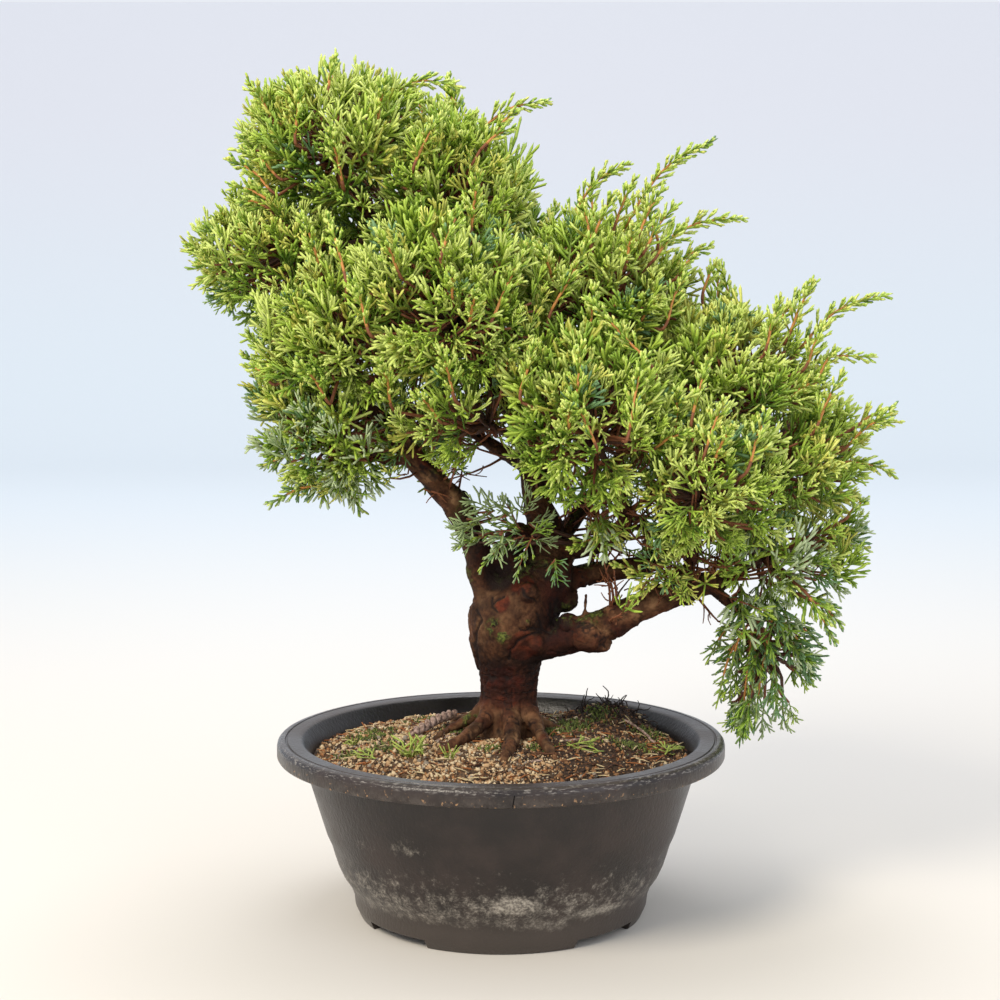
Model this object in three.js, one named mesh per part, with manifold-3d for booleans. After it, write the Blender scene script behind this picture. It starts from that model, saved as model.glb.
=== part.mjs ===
// A potted juniper bonsai: a round training pot filled with soil, a swollen trunk that leans to
// the left, boughs that fork from it, and masses of scale-leaved foliage that grow from them.
// Sizes are millimetres. X runs to the right of the front view, Y to the back and Z up.
// Places are given from the pot's axis at the standing plane, and the finished group is moved
// at the end so that the middle of its bounding box, at the base, is the origin.

import * as THREE from 'three';
import { mergeVertices } from 'three/addons/utils/BufferGeometryUtils.js';
import Module from 'manifold-3d';

const wasm = await Module();
wasm.setup();

const CLEAR = 0.3;                   // gap between pieces that rest on each other
const MERGE = 1e-4;                  // corners this near are one corner

// Pot: outline of the outside wall as [radius, height]
const POT_SIDES = 24;
const POT_WALL = [
  [66.6, 0], [69, 5], [69.8, 10.5], [74.8, 20], [79.6, 34], [83.8, 45], [90, 63.6], [91.2, 75],
];
const WALL_THICK = 2.4;
const FLOOR_TOP = 6;
const FLOOR_UNDER = 3;
const FOOT_WIDTH = 4.6;
const RIM_RADIUS = 105;
const RIM_TOP = 83.7;
const RIM_ROUND = 2.6;
const RIM_CORNER = 1;
const MOUTH_RADIUS = 92.5;
const MOUTH_BEVEL = 3.2;
const CORNER = 0.6;                  // small steps at the foot and the mouth of the inside wall
const ARCH = { width: 34, depth: 24, count: 4 };
const DRAIN = { radius: 5.5, length: 24, ring: 38, count: 4, sides: 8 };

// Soil: its dome as [radius, height], and the raised mound at the back right
const SOIL_DOME = [[70, 78.4], [50, 82], [36, 83.7]];
const MOUND = { centre: [56, 48], top: 88, base: 74, radius: 30, around: 10, down: 5 };
const GROUND = 84;                   // plane of the trunk's flat cut
const OVER_SOIL = 95;                // height above everything in the pot

// Trunk: stations [x, y, z, radius] from below the cut to the tip
const TRUNK = [
  [4, 7, 78, 14.5], [4, 7, 103, 13.5], [4, 6, 112, 14], [4, 6, 121, 16.8], [5, 5, 136, 21],
  [11, 5, 148, 20], [21, 5, 160, 13.5], [22, 7, 174, 9], [17, 10, 194, 6.2], [8, 15, 231, 5.2],
  [-24, 20, 278, 4.3], [-43, 18, 303, 3.8], [-58, 14, 322, 3.2], [-67, 9, 336, 2.5],
];
const TRUNK_SIDES = 14;
const TRUNK_STEPS = 24;
const FLARE_HEIGHT = 6;
const CUT_BLOCK = { width: 200, height: 40 };
const FLARE = [                      // surface roots: bearing in degrees, reach and half-width
  { bearing: 190, reach: 13, width: 26 }, { bearing: 235, reach: 9, width: 22 },
  { bearing: 272, reach: 15, width: 22 }, { bearing: 320, reach: 9, width: 24 },
  { bearing: 15, reach: 6, width: 28 }, { bearing: 85, reach: 9, width: 30 },
  { bearing: 140, reach: 8, width: 26 },
];

// Boughs: name, limb that it springs from, stations [x, y, z, radius] with the first inside it
const BOUGHS = [
  ['bough_left', 'trunk', [
    [-2, 2, 143, 8], [-8, 0, 159, 7], [-12, -2, 174, 6.4], [-20, -4, 191, 6.1],
    [-39, -6, 213, 5.5], [-53, -10, 231, 4.2], [-65, -16, 246, 2.5]]],
  ['bough_left_low', 'bough_left', [[-40, -6, 216, 2.9], [-50, -5, 213, 2.4], [-58, -4, 215, 2]]],
  ['bough_right_low', 'trunk', [
    [12, 0, 124, 10.5], [33, -4, 130.5, 8.3], [49, -7, 137, 7.6], [63, -9, 145, 6.9],
    [89, -9, 155, 6], [104, -7, 158, 4.6]]],
  ['bough_hanging', 'bough_right_low', [[94, -9, 157, 3], [108, -14, 146, 2.4], [118, -7, 136, 1.8]]],
  ['bough_right_front', 'bough_right_low', [
    [76, -10, 153, 4], [86, -20, 166, 3], [86, -36, 184, 2.1]]],
  ['bough_right_mid', 'trunk', [
    [20, 6, 150, 6.8], [38, 8, 158, 5.6], [71, 10, 164, 4.3], [89, 8, 177, 3.6],
    [101, 6, 199, 2.9], [106, 5, 225, 2]]],
  ['bough_right_outer', 'bough_right_mid', [[86, 8, 174, 3], [102, 8, 187, 2.4], [112, 6, 198, 1.9]]],
  ['bough_right_high', 'trunk', [
    [22, 6, 169, 4.7], [42, -2, 173, 4.2], [55, -14, 180, 3.6], [56, -26, 193, 3],
    [50, -33, 207, 2.2]]],
  ['bough_upper_right', 'trunk', [[13, 12, 214, 4.2], [24, 10, 238, 3.4], [37, 4, 267, 2.1]]],
  ['bough_rear_left', 'trunk', [[-14, 19, 266, 3.7], [-36, 38, 268, 3], [-58, 50, 268, 2.1]]],
  ['bough_rear_low', 'trunk', [[14, 12, 209, 4.4], [0, 28, 216, 3.5], [-18, 44, 226, 2.2]]],
  ['bough_rear_mid', 'trunk', [[16, 11, 202, 4.3], [22, 34, 224, 3.4], [16, 56, 250, 2.1]]],
  ['bough_rear_right', 'trunk', [[22, 7, 168, 4.8], [38, 30, 186, 3.9], [60, 54, 214, 2.2]]],
  ['bough_rear_far', 'bough_right_mid', [[62, 10, 162, 3.5], [84, 28, 172, 2.9], [108, 46, 188, 2]]],
];
const BOUGH_SIDES = 6;
const STATION_STEPS = 2;

// Foliage masses: name, limb and place along it that the stem meets, centre, half-sizes, lean in
// degrees of the right end downwards, and the core's share of the half-sizes
const FOLIAGE = [
  ['apex', 'trunk', 1, [-78, 5, 359], [43, 45, 35], 0, 0.8],
  ['shoulder', 'trunk', 0.83, [-25, 10, 337], [40, 46, 36], 25, 0.8],
  ['left_high', 'trunk', 0.9, [-108, 0, 307], [37, 42, 28], 0, 0.77],
  ['left_mid', 'bough_left', 1, [-73, -22, 273], [36, 46, 36], 0, 0.8],
  ['left_low', 'bough_left_low', 1, [-82, -5, 228], [36, 44, 31], 0, 0.66],
  ['heart', 'trunk', 0.73, [-27, -38, 284], [39, 44, 41], 0, 0.8],
  ['heart_low', 'trunk', 0.67, [-13, -30, 235], [32, 38, 25], 0, 0.62],
  ['mid_high', 'bough_upper_right', 1, [46, 0, 291], [42, 48, 34], 20, 0.8],
  ['mid_front', 'bough_right_high', 1, [39, -45, 232], [40, 42, 38], 0, 0.77],
  ['right_high', 'bough_right_mid', 1, [108, 0, 250], [42, 50, 34], 25, 0.77],
  ['right_mid', 'bough_right_outer', 1, [131, 0, 213], [40, 48, 31], 0, 0.7],
  ['right_front', 'bough_right_front', 1, [88, -46, 205], [38, 38, 30], 0, 0.66],
  ['right_low', 'bough_right_low', 1, [129, -4, 172], [38, 46, 30], 0, 0.6],
  ['hanging', 'bough_hanging', 1, [126, 5, 116], [25, 32, 41], 22, 0.5],
  ['rear_top', 'trunk', 0.86, [-47, 62, 331], [43, 42, 39], 0, 0.8],
  ['rear_left', 'bough_rear_left', 1, [-82, 62, 279], [41, 44, 39], 0, 0.8],
  ['rear_mid', 'bough_rear_mid', 1, [10, 72, 281], [46, 44, 42], 0, 0.8],
  ['rear_low', 'bough_rear_low', 1, [-40, 55, 234], [42, 40, 29], 0, 0.7],
  ['rear_right', 'bough_rear_right', 1, [75, 66, 242], [46, 44, 42], 0, 0.78],
  ['rear_far', 'bough_rear_far', 1, [128, 58, 207], [42, 42, 37], 0, 0.7],
  ['inner_right', 'bough_right_mid', 0.52, [70, -4, 184], [28, 17, 16], 0, 0.4],
  ['fork_sprig', 'bough_right_high', 0.3, [2, -20, 180], [27, 12, 15], 0, 0],
  ['low_sprig', 'bough_right_low', 0.6, [66, -28, 161], [17, 10, 9], 0, 0],
];

// Leading shoots that reach past their mass: mass, foot, tip and how far the shoot bows upwards
const SHOOTS = [
  ['apex', [-60, 0, 371], [-18, 0, 384], 9],
  ['apex', [-78, 0, 374], [-76, 0, 397], 0],
  ['apex', [-93, 5, 370], [-92, 5, 392], 0],
  ['apex', [-103, 0, 354], [-119, 0, 362], 3],
  ['shoulder', [-15, 5, 358], [23, 5, 378], 7],
  ['left_high', [-127, 0, 306], [-145, 0, 313], 0],
  ['mid_high', [28, 0, 310], [59, 0, 350], 11],
  ['mid_high', [50, -5, 306], [98, -5, 360], 13],
  ['mid_high', [64, 5, 301], [114, 5, 325], 9],
  ['mid_high', [74, 0, 297], [97, 0, 312], 3],
  ['right_high', [111, 0, 268], [101, 0, 305], 0],
  ['right_high', [120, 0, 262], [143, 0, 296], 3],
  ['right_high', [129, -5, 256], [179, -5, 290], 9],
  ['right_high', [132, 5, 253], [175, 5, 261], 4],
  ['right_mid', [148, 0, 222], [185, 0, 231], 3],
  ['right_mid', [148, -10, 212], [181, -10, 208], 3],
  ['right_low', [146, 0, 172], [172, 0, 172], 2],
  ['hanging', [116, 0, 124], [96, -4, 125], 0],
  ['hanging', [118, 4, 102], [113, 2, 80], 0],
  ['left_low', [-78, -5, 210], [-65, 0, 189], 0],
  ['left_low', [-98, -5, 216], [-111, 0, 211], 0],
  ['fork_sprig', [10, -19, 182], [-22, -20, 174], 3],
  ['fork_sprig', [11, -20, 180], [-10, -26, 165], 3],
  ['fork_sprig', [9, -18, 183], [-14, -16, 188], 2],
  ['fork_sprig', [14, -22, 179], [6, -30, 160], 2],
  ['fork_sprig', [8, -17, 184], [0, -20, 198], 1],
  ['low_sprig', [64, -27, 162], [50, -32, 168], 2],
  ['low_sprig', [66, -29, 160], [58, -36, 150], 0],
  ['low_sprig', [68, -29, 161], [82, -38, 160], 2],
];

// The rule by which a mass grows
const SEED = 1407;
const GOLDEN_TURN = Math.PI * (3 - Math.sqrt(5));
const TWIGS = 17;
const TWIG_REACH = 0.56;             // share of the half-sizes where a twig's spray begins
const TWIG_SWING = 28;               // most degrees that a spray turns away from its twig
const TWIG_RADIUS = 1.3;
const STEM_RADIUS = 1.7;
const STEM_SIDES = 4;
const HUB_BACK = 0.3;                // how far the stem's end lies back towards its foot
const SPRAY = { most: 30, least: 9, vary: 0.06, wide: 0.5, thick: 0.9 };
const SHOOT_WIDE = 0.11;             // half-width of a shoot's spray, as a share of its length
const CORE_ROUGH = 0.12;
const REACH = 1.02;                  // share of the half-sizes that a mass keeps to
const CELL_GAP = 0.035;              // margin between masses, as a share of their half-sizes
const HIDDEN = 0.9;                  // a spray whose tip is this deep in a neighbour is left out
const LIMB_MARGIN = 1;               // least gap between a spray and a limb
const POT_MARGIN = 2;                // and between foliage and the pot's rim
const CORE_STEP = 0.02;

// Teeth of a spray and of a shoot as [share of its length, share of its half-width, forward sweep]
const SPRAY_TEETH = [[0, 0.2, 0], [0.45, 1, 0.28], [0.6, 0.3, 0.1], [1, 0, 0]];
const SHOOT_TEETH = [
  [0, 0.14, 0], [0.2, 1, 0.13], [0.36, 0.16, 0.04], [0.5, 0.8, 0.12], [0.68, 0.14, 0.03], [1, 0, 0],
];

const COLOURS = {
  pot: { color: 0x2b2a29, roughness: 0.45, metalness: 0 },
  soil: { color: 0x6b5442, roughness: 0.95, metalness: 0 },
  bark: { color: 0x5a4034, roughness: 0.9, metalness: 0 },
  foliage: { color: 0x7fa345, roughness: 0.7, metalness: 0 },
  juvenile: { color: 0x7f9470, roughness: 0.7, metalness: 0 },
};

const vector = ([x, y, z]) => new THREE.Vector3(x, y, z);
const radians = THREE.MathUtils.degToRad;

// Repeatable random numbers from 0 to 1
function seeded(seed) {
  let state = seed >>> 0;
  return () => {
    state = (state + 0x6d2b79f5) >>> 0;
    let mixed = Math.imul(state ^ (state >>> 15), state | 1);
    mixed ^= mixed + Math.imul(mixed ^ (mixed >>> 7), mixed | 61);
    return ((mixed ^ (mixed >>> 14)) >>> 0) / 2 ** 32;
  };
}

// A closed solid from a geometry, with shared corners joined and collapsed triangles dropped
function solid(geometry) {
  const bare = new THREE.BufferGeometry();
  bare.setAttribute('position', geometry.attributes.position);
  bare.setIndex(geometry.index);
  const joined = mergeVertices(bare, MERGE);
  const corners = joined.index.array;
  const kept = [];
  for (let i = 0; i < corners.length; i += 3) {
    const [a, b, c] = corners.subarray(i, i + 3);
    if (a !== b && b !== c && c !== a) kept.push(a, b, c);
  }
  return new wasm.Manifold(new wasm.Mesh({
    numProp: 3,
    vertProperties: joined.attributes.position.array,
    triVerts: new Uint32Array(kept),
  }));
}

function piece(name, body, look) {
  const { vertProperties, triVerts } = body.getMesh();
  const geometry = new THREE.BufferGeometry();
  geometry.setAttribute('position', new THREE.BufferAttribute(vertProperties, 3));
  geometry.setIndex(new THREE.BufferAttribute(triVerts, 1));
  geometry.computeVertexNormals();
  const mesh = new THREE.Mesh(geometry, new THREE.MeshStandardMaterial(look));
  mesh.name = name;
  return mesh;
}

// The largest piece of a solid, without any loose scraps
function largest(body) {
  return body.decompose().reduce((best, part) => (part.volume() > best.volume() ? part : best));
}

function turned(profile) {
  const points = profile.map(([radius, height]) => new THREE.Vector2(radius, height));
  return new THREE.LatheGeometry(points, POT_SIDES).rotateX(Math.PI / 2);
}

function insideWall(gap) {
  const upper = POT_WALL.filter(([, height]) => height > FLOOR_TOP);
  return upper.map(([radius, height]) => [radius - WALL_THICK - gap, height]);
}

// Pot: a turned shell with a rolled rim, on a ring that arches divide into four feet
function makePot() {
  const inside = insideWall(0);
  const [floorRadius] = inside[0];
  const [wallRadius] = inside.at(-1);
  const [footRadius] = POT_WALL[0];
  const [, lipUnder] = POT_WALL.at(-1);
  const shell = turned([
    [0, FLOOR_UNDER],
    [footRadius - FOOT_WIDTH, FLOOR_UNDER],
    [footRadius - FOOT_WIDTH, 0],
    ...POT_WALL,
    [RIM_RADIUS - RIM_CORNER, lipUnder],
    [RIM_RADIUS, lipUnder + RIM_CORNER],
    [RIM_RADIUS, RIM_TOP - RIM_ROUND],
    [RIM_RADIUS - RIM_ROUND, RIM_TOP],
    [MOUTH_RADIUS, RIM_TOP],
    [wallRadius + CORNER, RIM_TOP - MOUTH_BEVEL],
    ...inside.reverse(),
    [floorRadius - CORNER, FLOOR_TOP],
    [0, FLOOR_TOP],
  ]);
  let pot = solid(shell);
  for (let k = 0; k < ARCH.count; k += 1) {
    const arch = new THREE.BoxGeometry(ARCH.depth, ARCH.width, 2 * FLOOR_UNDER);
    arch.translate(footRadius, 0, 0);
    arch.rotateZ(((k + 0.5) * 2 * Math.PI) / ARCH.count);
    pot = pot.subtract(solid(arch));
  }
  for (let k = 0; k <= DRAIN.count; k += 1) {
    const hole = new THREE.CylinderGeometry(DRAIN.radius, DRAIN.radius, DRAIN.length, DRAIN.sides);
    hole.rotateX(Math.PI / 2);
    if (k > 0) hole.translate(DRAIN.ring, 0, 0);
    hole.rotateZ((k * 2 * Math.PI) / DRAIN.count);
    pot = pot.subtract(solid(hole));
  }
  return pot;
}

// Soil: fills the pot clear of its wall, domed up to the trunk's flat cut
function makeSoil() {
  const base = FLOOR_TOP + CLEAR;
  const wall = insideWall(CLEAR);
  const inPot = [[0, base], [wall[0][0] - CORNER, base], ...wall];
  const body = solid(turned([...inPot, ...SOIL_DOME, [0, GROUND - CLEAR]]));
  const mound = new THREE.SphereGeometry(1, MOUND.around, MOUND.down);
  mound.rotateX(Math.PI / 2);
  mound.scale(MOUND.radius, MOUND.radius, MOUND.top - MOUND.base);
  mound.translate(...MOUND.centre, MOUND.base);
  const room = solid(turned([...inPot, [wall.at(-1)[0], OVER_SOIL], [0, OVER_SOIL]]));
  return body.add(solid(mound).intersect(room));
}

// A limb: a closed cylinder bent along a smooth path through its stations
class Limb {
  constructor(name, stations, sides, steps) {
    this.name = name;
    this.radii = stations.map((station) => station[3]);
    this.path = new THREE.CatmullRomCurve3(stations.map(vector));
    this.sides = sides;
    this.steps = steps;
  }

  radiusAt(t) {
    const place = t * (this.radii.length - 1);
    const k = Math.min(Math.floor(place), this.radii.length - 2);
    return THREE.MathUtils.lerp(this.radii[k], this.radii[k + 1], place - k);
  }

  // The solid, with its surface moved outwards by grow; spread adds to the radius at a point
  body(grow = 0, spread = () => 0) {
    const geometry = new THREE.CylinderGeometry(1, 1, 1, this.sides, this.steps);
    const frames = this.frames();
    const place = geometry.attributes.position;
    for (let i = 0; i < place.count; i += 1) {
      const k = Math.round((place.getY(i) + 0.5) * this.steps);
      const { centre, tangent, side, other } = frames[k];
      const across = side.clone().multiplyScalar(place.getX(i));
      across.addScaledVector(other, place.getZ(i));
      const end = k === 0 ? -grow : Number(k === this.steps) * grow;
      const radius = this.radiusAt(k / this.steps) + grow + spread(centre, across);
      const point = centre.clone().addScaledVector(across, radius).addScaledVector(tangent, end);
      place.setXYZ(i, point.x, point.y, point.z);
    }
    return solid(geometry);
  }

  frames() {
    const side = new THREE.Vector3(0, 1, 0);
    return Array.from({ length: this.steps + 1 }, (_, k) => {
      const tangent = this.path.getTangent(k / this.steps);
      side.addScaledVector(tangent, -side.dot(tangent)).normalize();
      const other = new THREE.Vector3().crossVectors(side, tangent);
      return { centre: this.path.getPoint(k / this.steps), tangent, side: side.clone(), other };
    });
  }

  // Smallest gap between a point and the limb's surface
  gapTo(point) {
    const samples = 4 * this.steps;
    let gap = Infinity;
    for (let k = 0; k <= samples; k += 1) {
      const t = k / samples;
      gap = Math.min(gap, this.path.getPoint(t).distanceTo(point) - this.radiusAt(t));
    }
    return gap;
  }
}

// Surface roots spread the trunk's foot, and fade out above the ground
function flare(centre, across) {
  const bearing = THREE.MathUtils.radToDeg(Math.atan2(across.y, across.x));
  const fade = Math.exp(-Math.max(centre.z - GROUND, 0) / FLARE_HEIGHT) * across.length();
  return FLARE.reduce((sum, root) => {
    const turn = THREE.MathUtils.euclideanModulo(bearing - root.bearing + 180, 360) - 180;
    return sum + root.reach * fade * Math.exp(-((turn / root.width) ** 2));
  }, 0);
}

function makeTrunk(trunk) {
  const below = new THREE.BoxGeometry(CUT_BLOCK.width, CUT_BLOCK.width, CUT_BLOCK.height);
  below.translate(0, 0, GROUND - CUT_BLOCK.height / 2);
  return trunk.body(0, flare).subtract(solid(below));
}

// The space of a mass: an ellipsoid that leans to one side
class Space {
  constructor([name, limb, at, centre, half, lean, core]) {
    Object.assign(this, { name, limb, at, core, centre: vector(centre), half: vector(half) });
    const turn = new THREE.Quaternion().setFromAxisAngle(new THREE.Vector3(0, 1, 0), radians(lean));
    this.toWorld = new THREE.Matrix4().compose(this.centre, turn, this.half);
    this.toUnit = this.toWorld.clone().invert();
  }

  // 0 at the centre and 1 at the ellipsoid's surface
  depth(point) {
    return point.clone().applyMatrix4(this.toUnit).length();
  }

  inside(direction, share) {
    return direction.clone().multiplyScalar(share).applyMatrix4(this.toWorld);
  }

  // Distance from a point inside to the surface along a direction
  room(point, direction) {
    const a = point.clone().applyMatrix4(this.toUnit);
    const b = point.clone().add(direction).applyMatrix4(this.toUnit).sub(a);
    const half = a.dot(b);
    const square = b.lengthSq();
    return (-half + Math.sqrt(Math.max(half * half - square * (a.lengthSq() - 1), 0))) / square;
  }
}

const spaces = FOLIAGE.map((row) => new Space(row));

// Whether a point belongs to a mass's own space; a shoot may pass the ellipsoid outwards
function owns(space, point, isShoot = false) {
  const depth = space.depth(point);
  if (depth > REACH && !isShoot) return false;
  const overPot = Math.hypot(point.x, point.y) < RIM_RADIUS + POT_MARGIN;
  if (overPot && point.z < RIM_TOP + POT_MARGIN) return false;
  return spaces.every((other) => {
    if (other === space) return true;
    const away = other.depth(point);
    return away > depth + CELL_GAP || (isShoot && away > 1 + CELL_GAP);
  });
}

// A twig that ends in a flat toothed spray, as one closed body of diamond-shaped rings. The spray
// begins at the point numbered first, and turnTo gives the direction of its teeth.
function sprayRings(points, first, teeth, wide, turnTo) {
  const curve = new THREE.CatmullRomCurve3(points);
  const begin = first / (points.length - 1);
  const length = points[first].distanceTo(points.at(-1));
  const ring = (t, half, thick, sweep) => {
    const centre = curve.getPoint(t);
    const tangent = curve.getTangent(t);
    const across = turnTo.clone().addScaledVector(tangent, -turnTo.dot(tangent)).normalize();
    const normal = new THREE.Vector3().crossVectors(tangent, across);
    const corner = (side, lift) => centre.clone().addScaledVector(across, side * half)
      .addScaledVector(normal, lift * thick).addScaledVector(tangent, Math.abs(side) * sweep);
    return [corner(-1, 0), corner(0, 1), corner(1, 0), corner(0, -1)];
  };
  return [
    ring(0, TWIG_RADIUS, TWIG_RADIUS, 0),
    ...teeth.map(([share, width, sweep]) => ring(
      begin + (1 - begin) * share, width * wide, share < 1 ? SPRAY.thick : 0, sweep * length,
    )),
  ];
}

function sprayBody(rings) {
  const faces = [0, 1, 2, 0, 2, 3];
  for (let row = 0; row < rings.length - 1; row += 1) {
    for (let k = 0; k < 4; k += 1) {
      const [here, next] = [4 * row + k, 4 * row + ((k + 1) % 4)];
      faces.push(here, here + 4, next + 4, here, next + 4, next);
    }
  }
  const geometry = new THREE.BufferGeometry().setFromPoints(rings.flat());
  geometry.setIndex(faces);
  return solid(geometry);
}

// Grows one mass: a stem from its limb, and twigs that fan out from it and end in sprays
function growMass(space, index, limbs) {
  const random = seeded(SEED + index);
  const foot = limbs.get(space.limb).path.getPoint(space.at);
  const hub = space.centre.clone().lerp(foot, HUB_BACK);
  const stem = [foot, hub].map((point) => [...point.toArray(), STEM_RADIUS]);
  const parts = [new Limb('stem', stem, STEM_SIDES, 1).body()];
  const isFree = (point, isShoot) => (
    owns(space, point, isShoot) && [...limbs.values()].every((limb) => limb.gapTo(point) > LIMB_MARGIN)
  );
  const add = (points, first, teeth, wide, turnTo, isShoot) => {
    const rings = sprayRings(points, first, teeth, wide, turnTo);
    const tip = rings.at(-1)[0];
    const shown = spaces.every((other) => other === space || other.depth(tip) > HIDDEN);
    const free = rings.slice(1).flat().every((point) => isFree(point, isShoot));
    if (shown && free) parts.push(sprayBody(rings));
  };

  const yaw = random() * 2 * Math.PI;
  for (let k = 0; k < TWIGS; k += 1) {
    const height = 1 - (2 * (k + 0.5)) / TWIGS;
    const turn = k * GOLDEN_TURN + yaw;
    const flat = Math.sqrt(1 - height * height);
    const unit = new THREE.Vector3(flat * Math.cos(turn), flat * Math.sin(turn), height);
    const begin = space.inside(unit, TWIG_REACH);
    const start = foot.clone().lerp(hub, space.core > 0 ? 1 : (k + 1) / TWIGS);
    const heading = space.inside(unit, 1).sub(begin).normalize();
    const turnTo = new THREE.Vector3(random() - 0.5, random() - 0.5, random() - 0.5);
    heading.applyAxisAngle(turnTo.clone().normalize(), radians(TWIG_SWING * (2 * random() - 1)));
    const room = space.room(begin, heading) * (REACH - SPRAY.vary * random());
    const length = Math.min(room, SPRAY.most);
    if (length < SPRAY.least) continue;
    const tip = begin.clone().addScaledVector(heading, length);
    add([start, begin, tip], 1, SPRAY_TEETH, SPRAY.wide * length, turnTo, false);
  }
  for (const [owner, from, to, bow] of SHOOTS) {
    if (owner !== space.name) continue;
    const [base, tip] = [vector(from), vector(to)];
    const middle = base.clone().lerp(tip, 0.5).add(new THREE.Vector3(0, 0, bow));
    const along = tip.clone().sub(base);
    const turnTo = new THREE.Vector3(0, 1, 0).cross(along);
    add([hub, base, middle, tip], 1, SHOOT_TEETH, SHOOT_WIDE * along.length(), turnTo, true);
  }
  return parts;
}

// Whether another mass lies close against this one here
function isSeam(space, point) {
  return spaces.some((other) => other !== space && other.core > 0 && other.depth(point) < 1);
}

// The dense middle of a mass: a rough ellipsoid drawn in wherever it would leave the mass's space
function coreBody(space, index) {
  const random = seeded(SEED - 1 - index);
  const geometry = mergeVertices(new THREE.IcosahedronGeometry(1, 1).deleteAttribute('normal')
    .deleteAttribute('uv'), MERGE);
  const place = geometry.attributes.position;
  for (let i = 0; i < place.count; i += 1) {
    const unit = new THREE.Vector3().fromBufferAttribute(place, i).normalize();
    let share = space.core * (1 + CORE_ROUGH * (2 * random() - 1));
    if (isSeam(space, space.inside(unit, 1))) share = 1;
    while (share > CORE_STEP && !owns(space, space.inside(unit, share))) share -= CORE_STEP;
    place.setXYZ(i, ...space.inside(unit, share).toArray());
  }
  return solid(geometry);
}

const trunk = new Limb('trunk', TRUNK, TRUNK_SIDES, TRUNK_STEPS);
const limbs = new Map([['trunk', trunk]]);
for (const [name, , stations] of BOUGHS) {
  limbs.set(name, new Limb(name, stations, BOUGH_SIDES, STATION_STEPS * (stations.length - 1)));
}

const bonsai = new THREE.Group();
bonsai.add(piece('pot', makePot(), COLOURS.pot));
bonsai.add(piece('soil', makeSoil(), COLOURS.soil));
bonsai.add(piece('trunk', makeTrunk(trunk), COLOURS.bark));

let grown = trunk.body(CLEAR, flare);
for (const [name, parent] of BOUGHS) {
  const limb = limbs.get(name);
  const room = limbs.get(parent).body(CLEAR);
  bonsai.add(piece(name, largest(limb.body().subtract(room)), COLOURS.bark));
  grown = grown.add(limb.body(CLEAR));
}

spaces.forEach((space, index) => {
  const parts = growMass(space, index, limbs);
  if (space.core > 0) parts.push(coreBody(space, index));
  const joined = parts.reduce((sum, part) => sum.add(part));
  const look = space.name === 'fork_sprig' ? COLOURS.juvenile : COLOURS.foliage;
  bonsai.add(piece(`foliage_${space.name}`, largest(joined.subtract(grown)), look));
});

const box = new THREE.Box3().setFromObject(bonsai);
const middle = box.getCenter(new THREE.Vector3());
bonsai.position.set(-middle.x, -middle.y, -box.min.z);

export default bonsai;
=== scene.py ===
import itertools
import math

import bpy
import numpy as np
from mathutils.kdtree import KDTree
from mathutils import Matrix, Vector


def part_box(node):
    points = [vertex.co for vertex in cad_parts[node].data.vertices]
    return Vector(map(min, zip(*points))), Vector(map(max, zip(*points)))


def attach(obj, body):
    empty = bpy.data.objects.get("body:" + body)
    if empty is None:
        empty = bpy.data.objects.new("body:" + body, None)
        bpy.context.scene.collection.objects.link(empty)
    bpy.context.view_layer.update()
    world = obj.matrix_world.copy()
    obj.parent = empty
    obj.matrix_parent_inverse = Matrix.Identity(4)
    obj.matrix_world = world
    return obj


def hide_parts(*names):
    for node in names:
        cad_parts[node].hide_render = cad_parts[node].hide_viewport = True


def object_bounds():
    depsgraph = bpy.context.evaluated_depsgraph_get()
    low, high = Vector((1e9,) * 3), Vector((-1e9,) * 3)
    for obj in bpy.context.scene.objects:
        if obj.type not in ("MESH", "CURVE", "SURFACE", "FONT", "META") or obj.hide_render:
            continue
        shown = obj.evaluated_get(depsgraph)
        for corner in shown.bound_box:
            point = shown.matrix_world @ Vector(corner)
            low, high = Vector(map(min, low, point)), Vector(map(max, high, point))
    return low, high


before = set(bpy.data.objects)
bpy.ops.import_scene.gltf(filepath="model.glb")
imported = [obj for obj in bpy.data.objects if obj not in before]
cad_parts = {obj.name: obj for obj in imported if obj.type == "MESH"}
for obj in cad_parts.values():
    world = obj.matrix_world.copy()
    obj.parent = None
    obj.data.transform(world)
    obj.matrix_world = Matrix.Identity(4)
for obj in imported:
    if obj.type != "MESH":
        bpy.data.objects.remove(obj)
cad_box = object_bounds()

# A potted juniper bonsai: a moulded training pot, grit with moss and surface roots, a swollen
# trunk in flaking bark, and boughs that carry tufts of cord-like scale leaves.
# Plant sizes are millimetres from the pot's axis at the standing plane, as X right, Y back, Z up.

MM = 0.001
bpy.ops.object.select_all(action="DESELECT")

pot_low, pot_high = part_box("pot")
AXIS = np.array([(pot_low.x + pot_high.x) / 2, (pot_low.y + pot_high.y) / 2, 0]) / MM

# ---------------------------------------------------------------- colours and materials


def shade(code):
    """sRGB hex to the linear colour that a shader takes."""
    parts = [int(code[k:k + 2], 16) / 255 for k in (1, 3, 5)]
    linear = [v / 12.92 if v <= 0.04045 else ((v + 0.055) / 1.055) ** 2.4 for v in parts]
    return (*linear, 1)


def add_node(tree, kind, inputs=None, output=0, **settings):
    """Adds a node and gives its output; an input is a value or another node's output."""
    node = tree.nodes.new("ShaderNode" + kind)
    for name, value in settings.items():
        setattr(node, name, value)
    for key, value in (inputs or {}).items():
        if isinstance(value, bpy.types.NodeSocket):
            tree.links.new(value, node.inputs[key])
        else:
            node.inputs[key].default_value = value
    return node.outputs[output]


COLOURS = {"data_type": "RGBA"}      # a Mix node's settings, where it mixes colours
SOFT = {"interpolation_type": "SMOOTHSTEP"}
TIMES = {"operation": "MULTIPLY"}


def per(size):
    """Scale of a pattern whose features are a size in millimetres."""
    return 1 / (size * MM)


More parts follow.
